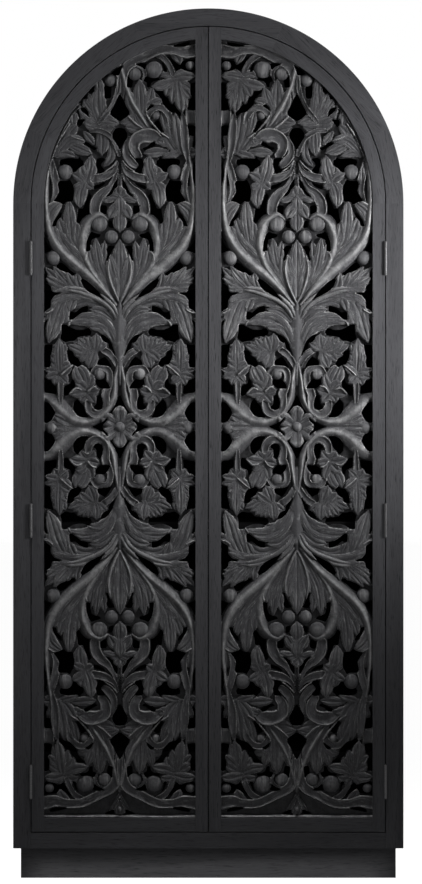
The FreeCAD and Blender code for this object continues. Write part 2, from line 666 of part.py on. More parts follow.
def hinge_pieces():
    """Leaves by name, and the pins and screws as groups on the body that holds them."""
    pieces = {}
    pins, frame_screws, door_screws = [], [], []
    for name, z_middle in hinge_heights().items():
        frame_leaf = hinge_leaf(z_middle, 0, -OPENING_RADIUS, -1)
        door_leaf = hinge_leaf(z_middle, 1, -DOOR_RADIUS, 1)
        pieces["hinge_left_" + name + "_frame_leaf"] = frame_leaf
        pieces["hinge_left_" + name + "_door_leaf"] = door_leaf
        pieces["hinge_right_" + name + "_frame_leaf"] = mirrored(frame_leaf)
        pieces["hinge_right_" + name + "_door_leaf"] = mirrored(door_leaf)
        pins.append(hinge_pin(z_middle))
        for z in screw_heights(z_middle):
            frame_screws.append(leaf_screw(-OPENING_RADIUS, -1, z, 0))
            door_screws.append(leaf_screw(-DOOR_RADIUS, 1, z, 0))
    other_frame_screws = [mirrored(screw) for screw in frame_screws]
    pieces["hinge_pins_left"] = Part.makeCompound(pins)
    pieces["hinge_pins_right"] = Part.makeCompound([mirrored(pin) for pin in pins])
    pieces["hinge_screws_frame"] = Part.makeCompound(frame_screws + other_frame_screws)
    pieces["hinge_screws_left_door"] = Part.makeCompound(door_screws)
    pieces["hinge_screws_right_door"] = Part.makeCompound([mirrored(s) for s in door_screws])
    return pieces


def all_pieces():
    """Every piece of the cabinet by its name."""
    pieces = {}
    pieces.update(face_frame_pieces())
    pieces.update(carcass_pieces())
    pieces.update(shelf_pieces())
    pieces["catch_housings"] = catch_housings()
    pieces.update(plinth_pieces())
    for name, shape in left_door_pieces().items():
        pieces["left_door_" + name] = shape
        pieces["right_door_" + name] = mirrored(shape)
    pieces.update(hinge_pieces())
    return pieces


def main():
    os.makedirs("parts", exist_ok=True)
    pieces = all_pieces()
    for name, shape in pieces.items():
        shape.exportStep(os.path.join("parts", name + ".step"))
    print(len(pieces), "pieces written")


main()
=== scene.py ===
"""Finishes the arched cabinet: its carved doors, black timber, hinges, light and camera."""

import math
import random

import bmesh
import bpy
import numpy as np
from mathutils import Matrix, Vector, kdtree
from mathutils.geometry import delaunay_2d_cdt


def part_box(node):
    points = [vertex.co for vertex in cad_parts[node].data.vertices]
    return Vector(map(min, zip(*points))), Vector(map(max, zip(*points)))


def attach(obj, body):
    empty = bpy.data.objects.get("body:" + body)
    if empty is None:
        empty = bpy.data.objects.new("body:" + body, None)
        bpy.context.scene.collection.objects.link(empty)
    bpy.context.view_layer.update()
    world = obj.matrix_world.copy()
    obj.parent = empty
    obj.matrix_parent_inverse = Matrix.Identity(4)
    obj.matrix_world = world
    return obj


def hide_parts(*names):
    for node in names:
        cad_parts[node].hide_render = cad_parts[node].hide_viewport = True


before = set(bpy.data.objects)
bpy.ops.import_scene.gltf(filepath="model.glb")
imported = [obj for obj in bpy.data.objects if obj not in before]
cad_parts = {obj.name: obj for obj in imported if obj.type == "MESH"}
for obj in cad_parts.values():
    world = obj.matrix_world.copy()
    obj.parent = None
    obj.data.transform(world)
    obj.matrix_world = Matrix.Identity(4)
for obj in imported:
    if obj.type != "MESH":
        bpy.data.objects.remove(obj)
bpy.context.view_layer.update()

SIDES = ("left", "right")
LEVELS = ("upper", "middle", "lower")

# Carving
PANEL_TONGUE = 0.008
GROUND_DEPTH = 0.0175  # behind the face of the door's frame
CARVING_HEIGHT = 0.0150  # of the highest strokes above the ground
BASE_HEIGHT = 0.16  # share of that where no stroke passes
STATION_SPACING = 0.004
FRONT_STEP = 0.0019  # between the points of the carved surface
OUTLINE_STEP = 0.0028
EDGE_ROUNDING = 0.0036
EDGE_HEIGHT = 0.55  # share of the height that is left at a piercing
KNIFE_WANDER = 0.35  # in squares, of a stroke's inner points
HEIGHT_WANDER = 0.07
BAND_WIDENING = 1.15
LEAF_WIDENING = 1.25
LOBE_WIDENING = 1.4
BERRY_WIDENING = 1.05
BERRY_LEVEL = 0.42  # share of the carving's height at which a berry is widest
BERRY_TOP = 0.93  # the same share at its top
TOUCHING = 0.00001
FLAT_BACK = 0.9  # least share of a normal's length towards the rear on the board's back
LATTICE_GAP = 0.55  # least distance of the front's inner points from an outline, in steps
PLACES_AT_ONCE = 200  # tested together against the outlines
CURVE_STEPS = 10  # from one drawn point of a stroke to the next
FIRST_SEED = 11
SQUARES_BELOW_SPRING = 785.3
SQUARES_BELOW_FLOWER = 500.0
SQUARES_TO_STILE = 100.0
PARTS = ("foot", "middle", "head")
PART_CUTS = (-171.6, 171.6)  # squares up from the flower, clear of the piercings' corners

# What the carved surface carries for its finish and for the highlights and shade painted into its
# colour: its height, the number of its knife line, how far along its stroke it lies, and its place
# in the pattern of the rims.
LAYERS = ("carve", "lines", "along", "rims")

# Each point of a stroke is in squares from the flower in the middle of a panel, towards the
# meeting stile and up, with its half width there in bands, ridges and leaves. Before the points
# comes the share of the carving's height, and before that, in a lobe, its greatest half width.
# A berry ends with its radius.

# Strokes that repeat in all four quarters of a panel.
QUARTER = {
    "bands": [
        # Crook beside the flower
        (0.92, [(35, 68, 4), (30, 74, 4.5), (20, 75, 4), (14, 70, 4), (13, 60, 4), (16, 50, 5),
                (19, 42, 5), (19, 33, 5), (20, 25, 5), (26, 18, 5), (34, 17, 5), (40.5, 23, 5),
                (42, 31, 4)]),
        (0.9, [(78, 58, 3.5), (78, 44, 3.2), (78, 28, 1.5)]),
        (0.84, [(3, 78, 3), (11, 91, 4), (21, 98, 4)]),
        # Arms under the crossing
        (0.9, [(3, 338, 1.5), (8, 327, 3), (20, 320, 5), (34, 317, 5)]),
        (0.86, [(3, 330, 1.5), (7, 318, 2.5), (14, 306, 4), (24, 298, 5.5), (31, 288, 6.5),
                (33, 276, 6)]),
        (0.92, [(3, 300, 2.2), (3, 322, 2.2)]),
    ],
    "ridges": [
        # Scroll from the stile, past the flower and up the middle line
        (0.92, [(99, 38, 8), (84, 27, 12), (72, 16, 12), (58, 8, 10), (44, 6, 7.5), (32, 9, 6),
                (22, 15, 5.5), (14, 24, 5), (9, 35, 5), (7, 47, 4.5), (6, 58, 4), (4, 70, 3),
                (2, 82, 2)]),
        # Tulip's outer rim, and its volute
        (1.0, [(5, 156, 3), (18, 172, 5), (36, 190, 8), (57, 207, 8.5), (78, 226, 8),
               (92, 250, 7), (97, 278, 5.5), (97, 305, 4.5), (94, 330, 4), (91, 345, 3)]),
        (0.90, [(14, 170, 3), (28, 187, 5), (40, 204, 6.5), (48, 225, 8), (49, 243, 8),
                (44, 258, 7), (36, 267, 5.5), (26, 271, 4.5), (17, 266, 3)]),
    ],
    "leaves": [
        # Inside of the tulip
        (0.74, [(12, 164, 3), (28, 184, 5), (46, 204, 7), (62, 220, 8), (76, 237, 7),
                (84, 254, 4)]),
        (0.70, [(15, 172, 3), (34, 200, 5), (54, 222, 8), (62, 240, 8), (66, 256, 7)]),
        # Frond: its shaded underside, its body and its midrib
        (0.66, [(12, 146, 3), (28, 156, 4.5), (46, 160, 5), (60, 155, 4)]),
        (0.80, [(30, 164, 4), (48, 170, 6), (64, 171, 8), (80, 167, 8), (90, 160, 5)]),
        (0.98, [(4, 140, 3), (11, 153, 4), (25, 164, 4.5), (42, 171, 4.5), (58, 175, 3.5),
                (72, 176, 2)]),
        # Body of the lower leaf
        (0.78, [(8, 106, 5), (16, 123, 8), (28, 134, 9), (44, 138, 8), (58, 137, 6),
                (70, 133, 2)]),
    ],
    "lobes": [
        # Leaf inside the scroll
        (5, 0.80, [(43, 44), (35, 45), (27, 47)]),
        (5, 0.75, [(43, 43), (37, 36), (33, 31)]),
        (5.5, 0.80, [(44, 44), (55, 44), (65, 41)]),
        (4.5, 0.70, [(44, 43), (49, 37), (52, 31)]),
        (4.5, 0.75, [(44, 46), (38, 58), (37, 67)]),
        (5.5, 0.80, [(45, 46), (52, 54), (58, 55)]),
        (9, 0.82, [(45, 53), (51, 66), (58, 79)]),
        # Leaf beside the stile
        (5, 0.80, [(79, 66), (88, 65), (98, 63)]),
        (4.5, 0.75, [(79, 66), (88, 71), (99, 73)]),
        (5, 0.75, [(79, 66), (84, 60), (86, 54)]),
        (6, 0.80, [(79, 66), (74, 60), (69, 56)]),
        (4.5, 0.85, [(79, 65), (71, 72), (63, 77)]),
        (6, 0.86, [(79, 68), (80, 90), (80, 112)]),
        (5, 0.80, [(79, 76), (86, 79), (92, 84)]),
        (5, 0.80, [(79, 84), (86, 87), (93, 92)]),
        (5, 0.78, [(79, 94), (85, 98), (90, 105)]),
        (5, 0.80, [(80, 74), (72, 78), (65, 83)]),
        (5, 0.80, [(80, 84), (74, 89), (69, 95)]),
        (4.5, 0.78, [(80, 94), (75, 100), (72, 106)]),
        # Leaf above the scroll
        (7, 0.82, [(34, 94), (37, 85), (41, 76)]),
        (5, 0.80, [(35, 98), (45, 92), (53, 84)]),
        (4.5, 0.80, [(36, 99), (39, 107), (41, 116)]),
        (4.5, 0.78, [(36, 98), (43, 106), (48, 115)]),
        (4.5, 0.80, [(36, 98), (47, 104), (55, 113)]),
        (4.5, 0.78, [(36, 97), (50, 101), (61, 108)]),
        (4.5, 0.80, [(37, 96), (53, 98), (68, 104)]),
        (4.5, 0.76, [(37, 96), (49, 93), (60, 92)]),
        (7, 0.82, [(33, 98), (31, 108), (31, 118)]),
        (4.5, 0.72, [(33, 99), (25, 103), (17, 107)]),
        # Fan at the end of the scroll from the stile
        (5.5, 0.82, [(60, 3), (74, 8), (87, 15)]),
        (5.5, 0.80, [(60, 2), (76, 5), (92, 9)]),
        # Tips of the lower leaf
        (6.5, 0.90, [(24, 137), (44, 139), (58, 138), (70, 133)]),
        (5, 0.84, [(9, 136), (24, 148), (39, 150)]),
        (4.5, 0.82, [(12, 118), (26, 127), (42, 127)]),
        # Lower fingers of the frond
        (4.5, 0.82, [(58, 167), (63, 157), (66, 148)]),
        (5.5, 0.82, [(66, 167), (72, 152), (75, 138), (79, 122)]),
        (9.5, 0.92, [(71, 168), (82, 147), (88, 128), (94, 109)]),
        (4, 0.80, [(84, 150), (92, 143), (99, 132)]),
        (4.5, 0.84, [(76, 167), (88, 154), (100, 143)]),
        (5, 0.88, [(68, 171), (86, 162), (100, 152)]),
        (5.5, 0.90, [(62, 173), (78, 169), (93, 161)]),
        # Upper fingers of the frond
        (4.5, 0.84, [(50, 173), (55, 184), (57, 196)]),
        (4.5, 0.86, [(56, 175), (64, 187), (69, 199)]),
        (6, 0.90, [(60, 176), (74, 189), (87, 204)]),
        (5, 0.86, [(64, 177), (83, 189), (98, 203)]),
        (4.5, 0.88, [(67, 177), (84, 184), (99, 193)]),
        (4.5, 0.84, [(69, 176), (84, 180), (97, 183)]),
        (4, 0.82, [(70, 175), (80, 175), (91, 176)]),
        # Fingers of the tulip
        (5, 0.78, [(52, 226), (57, 246), (57, 263)]),
        (6.5, 0.88, [(62, 234), (66, 262), (67, 289)]),
        (4.5, 0.78, [(70, 238), (77, 255), (81, 269)]),
        (4.5, 0.76, [(76, 234), (85, 247), (88, 258)]),
        (7, 0.92, [(97, 254), (91, 275), (76, 287)]),
        # Leaf inside the tulip
        (5, 0.74, [(6, 166), (17, 194), (19, 222)]),
        (6, 0.80, [(9, 170), (26, 204), (32, 241)]),
        (4, 0.76, [(22, 206), (22, 222), (20, 237)]),
        (5, 0.76, [(12, 172), (33, 204), (40, 234)]),
        # Small leaf on the middle line
        (6, 0.88, [(1, 292), (11, 295), (24, 289)]),
        (5.5, 0.86, [(1, 285), (8, 277), (14, 267)]),
        (5, 0.86, [(1, 296), (4, 302), (8, 309)]),
        # Leaf under the arms
        (7, 0.92, [(45, 312), (39, 330), (38, 346)]),
        (5, 0.84, [(46, 316), (50, 326), (50, 335)]),
        (5, 0.86, [(46, 313), (54, 320), (63, 324)]),
        (7, 0.92, [(46, 314), (52, 299), (53, 281)]),
        (4.5, 0.82, [(47, 310), (54, 307), (61, 304)]),
        (4.5, 0.80, [(46, 312), (41, 309), (35, 305)]),
    ],
    "rims": [
        [(31, 52), (37, 50), (42, 44)],
        [(50, 47), (58, 49), (66, 42)],
        [(62, 79), (70, 73), (78, 66)],
        [(63, 136), (66, 133), (68, 129)],
        [(87, 151), (91, 148), (95, 146), (100, 145)],
        [(75, 285), (86, 288), (95, 283)],
        [(45, 212), (45, 217), (43, 223)],
        [(4, 340), (10, 333), (20, 326)],
    ],
    "berries": [(26, 68, 7.5), (88, 216, 9), (27, 260, 10.5), (11, 243, 8.5), (72, 326, 9.5)],
}

# A stem near the stile, the same in the two tables that follow.
STEM_BY_STILE = (0.9, [(91, 340, 3), (87, 325, 4.5), (84, 310, 4.5), (85, 298, 3.5), (90, 286, 2)])

# Strokes on both sides of a panel's foot, and beside the meeting stile at its head.
FOOT_AND_HEAD = {
    "bands": [
        (0.95, [(24, 347, 5), (19, 355, 6), (20, 366, 7), (30, 372, 8), (42, 372, 8.5),
                (53, 366, 5)]),
        (0.85, [(25, 332, 2), (17, 337, 5), (9, 347, 4.5), (8, 358, 3.5), (12, 369, 2.5)]),
        (0.95, [(91, 338, 2.5), (86, 360, 4.5), (85, 380, 5), (83, 398, 2.5)]),
        (0.85, [(91, 348, 1.5), (93, 358, 3), (96, 370, 4)]),
        (0.95, [(67, 385, 3), (66, 397, 4), (58, 406, 4), (48, 408, 4), (40, 403, 4),
                (37, 396, 3)]),
        # The long vine at the end of the panel
        (1.0, [(1, 420, 4), (3, 445, 6), (10, 461, 6), (30, 472, 5.5), (50, 481, 5.5),
               (70, 482, 5.5), (85, 479, 7), (99, 481, 8)]),
        (0.85, [(50, 476, 3.5), (60, 470, 3.5), (66, 462, 3.5), (70, 451, 3)]),
        (0.95, [(18, 462, 2), (28, 460, 2.5), (33, 452, 2.5), (30, 443, 1.5)]),
        (0.75, [(93, 405, 6), (94, 387, 6)]),
        STEM_BY_STILE,
    ],
    "ridges": [
        # Inner edge of the leaf beside the crossing
        (0.98, [(36, 385, 2.5), (27, 398, 4), (17, 414, 4.5), (9, 432, 4.5), (4, 450, 4),
                (0, 466, 3)]),
    ],
    "lobes": [
        (5, 0.80, [(61, 352), (46, 351), (32, 350)]),
        (4.5, 0.75, [(66, 362), (58, 364), (50, 366)]),
        (4, 0.72, [(80, 351), (66, 347), (56, 344)]),
        (5.5, 0.86, [(81, 352), (76, 374), (73, 400)]),
        (4.5, 0.80, [(77, 358), (68, 378), (60, 402)]),
        (4, 0.76, [(68, 370), (60, 386), (55, 404)]),
        (5, 0.78, [(74, 352), (66, 362), (58, 376)]),
        # Leaf beside the crossing
        (5.5, 0.86, [(26, 392), (16, 410), (11, 432)]),
        (8, 0.86, [(28, 388), (27, 414), (26, 443)]),
        (6, 0.82, [(29, 395), (38, 416), (43, 434)]),
        (6, 0.80, [(31, 400), (44, 414), (56, 417)]),
        (7.5, 0.82, [(39, 378), (30, 390), (21, 404)]),
        # Three-part leaf near the stile
        (5.5, 0.86, [(73, 446), (86, 449), (99, 448)]),
        (3.5, 0.72, [(73, 447), (78, 451), (83, 457)]),
        (5.5, 0.86, [(71, 442), (58, 437), (43, 435)]),
        (4.5, 0.76, [(72, 448), (62, 451), (54, 448)]),
        (5, 0.80, [(72, 442), (66, 434), (61, 423)]),
        (5, 0.80, [(73, 442), (71, 430), (69, 414)]),
        (5.5, 0.86, [(76, 442), (79, 422), (81, 400)]),
        (5, 0.80, [(78, 440), (86, 436), (94, 432)]),
        (5, 0.80, [(78, 437), (86, 430), (95, 420)]),
        (4.5, 0.80, [(78, 434), (83, 422), (88, 406)]),
        (4.5, 0.80, [(68, 479), (76, 472), (80, 462)]),
        (5.5, 0.70, [(90, 350), (96, 350), (101, 350)]),
        (3, 0.86, [(91, 306), (92, 296), (93, 284)]),
    ],
    "rims": [
        [(54, 376), (60, 372), (65, 369)],
        [(35, 400), (43, 388), (53, 377)],
        [(10, 398), (22, 387), (30, 382)],
    ],
    "berries": [(47, 399, 6), (45, 457, 11), (20, 452, 9), (93, 462, 6)],
}

# Strokes on the hinge side of the head, where the arch takes the place of the corner.
HEAD_BY_HINGE = {
    "bands": [
        (0.95, [(99, 305, 2.5), (97, 325, 2.5), (92, 342, 2.5), (87, 356, 2.5), (82, 368, 3),
                (77, 380, 3), (70, 392, 3), (66, 399, 3), (58, 408, 2.5), (53, 412, 2)]),
        (0.95, [(38, 379, 2.5), (28, 379, 3), (18, 375, 3), (9, 368, 3), (4, 358, 3),
                (1, 348, 2.5)]),
        (1.0, [(0, 461, 2.5), (2, 450, 2.5), (2, 440, 2.5), (3, 430, 3), (6, 420, 3),
               (12, 408, 3), (20, 398, 3), (27, 389, 2.5)]),
        STEM_BY_STILE,
    ],
    "lobes": [
        (6, 0.86, [(84, 348), (66, 366), (46, 365)]),
        (4, 0.76, [(86, 348), (72, 350), (58, 346)]),
        (6, 0.80, [(68, 362), (53, 356), (38, 350)]),
        (7, 0.86, [(24, 380), (23, 365), (24, 348)]),
        (4, 0.80, [(12, 364), (11, 350), (14, 341), (21, 333)]),
        (4, 0.80, [(46, 376), (40, 368), (34, 361)]),
        (3.5, 0.86, [(86, 312), (86, 322), (86, 332)]),
        (5.5, 0.80, [(80, 362), (74, 374), (68, 388)]),
        (5, 0.78, [(72, 368), (64, 378), (56, 386)]),
        (6, 0.84, [(26, 392), (34, 408), (41, 426)]),
        (6, 0.82, [(26, 392), (38, 404), (48, 419)]),
        (6, 0.82, [(26, 391), (42, 399), (54, 410)]),
        (6, 0.80, [(27, 390), (40, 392), (52, 399)]),
        (6, 0.78, [(28, 386), (38, 387), (47, 389)]),
        (9, 0.86, [(24, 388), (29, 410), (28, 432)]),
        (6.5, 0.84, [(26, 412), (28, 430), (30, 449)]),
        (6, 0.78, [(60, 384), (62, 394), (60, 404)]),
    ],
    "rims": [
        [(76, 372), (71, 380), (66, 388)],
        [(65, 372), (57, 369), (47, 366)],
    ],
    "berries": [(12, 443, 8)],
}


def both_sides(*stroke):
    """A stroke and its mirror image about the middle line."""
    *shape, points = stroke
    return stroke, (*shape, [(-across, *rest) for across, *rest in points])


# Strokes on the middle line, mirrored above and below the flower.
MIDDLE_LINE = {
    "ridges": [
        # Stem
        (0.80, [(0, 54, 3), (0, 75, 5), (0, 95, 9), (0, 115, 12), (0, 138, 10), (0, 160, 3)]),
        # Rims of the spear leaf
        *both_sides(0.98, [(0, 158, 2), (7, 172, 2.5), (13, 188, 3), (15, 204, 3), (12, 219, 2)]),
    ],
    "leaves": [(0.76, [(0, 160, 1), (0, 175, 6), (0, 195, 9), (0, 205, 8), (0, 214, 3)])],
    "lobes": [
        # Spear leaf
        (8, 0.86, [(0, 180), (0, 210), (0, 238)]),
        *both_sides(6, 0.86, [(3, 180), (10, 200), (13, 219)]),
        # Small leaf above it
        (7, 0.9, [(0, 273), (0, 262), (0, 250)]),
        (6.5, 0.86, [(0, 268), (0, 280), (0, 294)]),
        # Leaf tips that meet above the crossing
        *both_sides(6, 0.84, [(31, 390), (17, 392), (2, 388)]),
        *both_sides(5, 0.74, [(34, 380), (20, 381), (8, 383)]),
    ],
}

# Strokes level with the flower, mirrored on both sides of it.
FLOWER_LEVEL = {
    "bands": [(0.7, [(91, 0, 6), (102, 0, 6)])],
    "lobes": [(5.5, 0.84, [(58, 0), (76, 0), (92, 0)])],
    "berries": [(90, -1, 8)],
}

# Strokes beside the middle line at the foot.
FOOT = {
    "bands": [(0.9, [(0, 470, 1.5), (5, 480, 2.5), (11, 491, 3)])],
    # Bar along the bottom rail
    "ridges": [(1.0, [(0, 499, 3.5), (50, 499, 3.5), (100, 499, 3.5)])],
    "lobes": [(5, 0.8, [(0, 476), (2, 486), (3, 496)])],
    "rims": [[(0, 498), (50, 498), (100, 498)]],
}

# A knob on the middle line at the foot, where a mirrored one would be the same again.
FOOT_KNOB = {"berries": [(0, 489, 4)]}

EVERY_QUARTER = ((1, 1), (-1, 1), (1, -1), (-1, -1))
AREAS = (
    (QUARTER, EVERY_QUARTER),
    (FOOT_AND_HEAD, ((1, 1), (1, -1), (-1, -1))),
    (HEAD_BY_HINGE, ((-1, 1),)),
    (MIDDLE_LINE, ((1, 1), (1, -1))),
    (FLOWER_LEVEL, ((1, 1), (-1, 1))),
    (FOOT, ((1, -1), (-1, -1))),
    (FOOT_KNOB, ((1, -1),)),
)

# Cross sections of the strokes, from the middle outwards: the place, as a share of the half
# width, and the height, as a share of the stroke's height.
BAND_SECTION = ((0, 0.70), (0.4, 0.72), (0.62, 0.82), (0.8, 1.0), (0.92, 0.93), (1, 0.5))
RIDGE_SECTION = ((0, 1.0), (0.15, 0.97), (0.6, 0.74), (1, 0.48))
LEAF_SECTION = ((0, 0.76), (0.14, 0.89), (0.5, 1.0), (0.82, 0.92), (0.94, 0.80), (1, 0.45))
WIDE_LEAF_SECTION = ((0, 0.78), (0.08, 0.90), (0.3, 0.98), (0.5, 0.92), (0.7, 0.96),
                     (0.9, 0.84), (1, 0.45))
RIM_SECTION = ((0, 1.0), (0.6, 0.92), (1, 0.55))
PETAL_SECTION = ((0, 0.82), (0.2, 0.90), (0.55, 1.0), (0.8, 0.90), (1, 0.36))

# How a stroke is marked: the number of its knife line in the middle and how that changes to its
# sides, then the same two numbers for its place in the pattern of the rims.
# A rim at this place in the pattern is palest, as wear and as a painted highlight
PALEST_RIM = 0.87
RIMMED = (0.5, 0.7, 0.0, 1.0)
VEINED = (0.0, 2.0, 0.0, 0.9)
# High ridges get a pale crest, as wear and as a painted highlight
CRESTED = (0.5, 0.3, 0.78, -0.12)
HIGHLIT_RUBBED_LINE = (0.5, 0.3, PALEST_RIM, 0.0)
PLAIN = (0.5, 0.3, 0.0, 0.0)
LOW_RIDGE = 0.84  # share of the height below which a ridge has no pale crest of wear and painted highlight
HIGHLIT_WORN_EDGE = 0.0016  # how far from a piercing its pale edge reaches, rubbed and a painted highlight
HIGHLIT_WORN_HEIGHT = 0.5  # share of the height above which such an edge is pale

WIDE_LEAF = 6.0  # squares of half width from which a lobe has four flutes
RIM_HALF_WIDTH = 1.1
RIM_HEIGHT = 0.97

# How wide a lobe is along its length, as shares of its length and of its half width.
LOBE_OUTLINE = ((0, 0.55), (0.2, 0.82), (0.45, 1.0), (0.7, 0.9), (0.88, 0.6), (1, 0.16))
LOBE_RISE = ((0, 0.70), (0.3, 0.86), (0.8, 1.0), (1, 0.90))
BAND_RISE = ((0, 0.72), (0.12, 1.0), (0.9, 1.0), (1, 0.75))

# The flower
PETAL_COUNT = 6
PETAL_OUTLINE = ((0, 0.5), (0.35, 0.85), (0.7, 1.0), (0.93, 0.9), (1, 0.6))
PETAL_RISE = ((0, 0.55), (0.5, 0.78), (0.85, 1.05), (1, 0.98))
PETAL_HALF_WIDTH = 10.0
PETAL_ROOT = 4.0
PETAL_TIP = 25.0
PETAL_HEIGHT = 0.95
FLOWER_EYE = 7.0


def share_at(table, places):
    """The values of a table of pairs at places between its ends."""
    return np.interp(places, [pair[0] for pair in table], [pair[1] for pair in table])


def smooth_line(points):
    """Closely spaced points on a smooth curve through the given ones."""
    last = len(points) - 1
    line = []
    for index in range(last):
        corners = (
            points[max(index - 1, 0)],
            points[index],
            points[index + 1],
            points[min(index + 2, last)],
        )
        for step in range(CURVE_STEPS):
            t = step / CURVE_STEPS
            line.append(
                tuple(
                    0.5 * (2 * b + (c - a) * t + (2 * a - 5 * b + 4 * c - d) * t * t
                           + (3 * b - a - 3 * c + d) * t * t * t)
                    for a, b, c, d in zip(*corners)
                )
            )
    line.append(tuple(points[-1]))
    return np.array(line)


def even_stations(line, spacing):
    """Points evenly spaced along a line of close points."""
    steps = np.hypot(*np.diff(line[:, :2], axis=0).T)
    reach = np.concatenate(([0.0], np.cumsum(steps)))
    count = max(5, int(reach[-1] / spacing) + 2)
    targets = np.linspace(0, reach[-1], count)
    return np.stack([np.interp(targets, reach, line[:, column]) for column in range(3)], axis=1)


def inside(places, starts, ends):
    """Which places lie inside the outlines, by counting the edges to their left."""
    result = np.zeros(len(places), bool)
    order = np.argsort(places[:, 1], kind="stable")
    lowest, highest = np.minimum(starts[:, 1], ends[:, 1]), np.maximum(starts[:, 1], ends[:, 1])
    for group in np.array_split(order, max(1, len(order) // PLACES_AT_ONCE)):
        near = (lowest <= places[group[-1], 1]) & (highest >= places[group[0], 1])
        a, b = starts[near], ends[near]
        rise = b[:, 1] - a[:, 1]
        level = rise == 0
        slope = (b[:, 0] - a[:, 0]) / np.where(level, 1.0, rise)
        x, z = places[group, 0][:, None], places[group, 1][:, None]
        crosses = ((a[:, 1] > z) != (b[:, 1] > z)) & (x > a[:, 0] + (z - a[:, 1]) * slope)
        result[group] = crosses.sum(axis=1) % 2 == 1
    return result


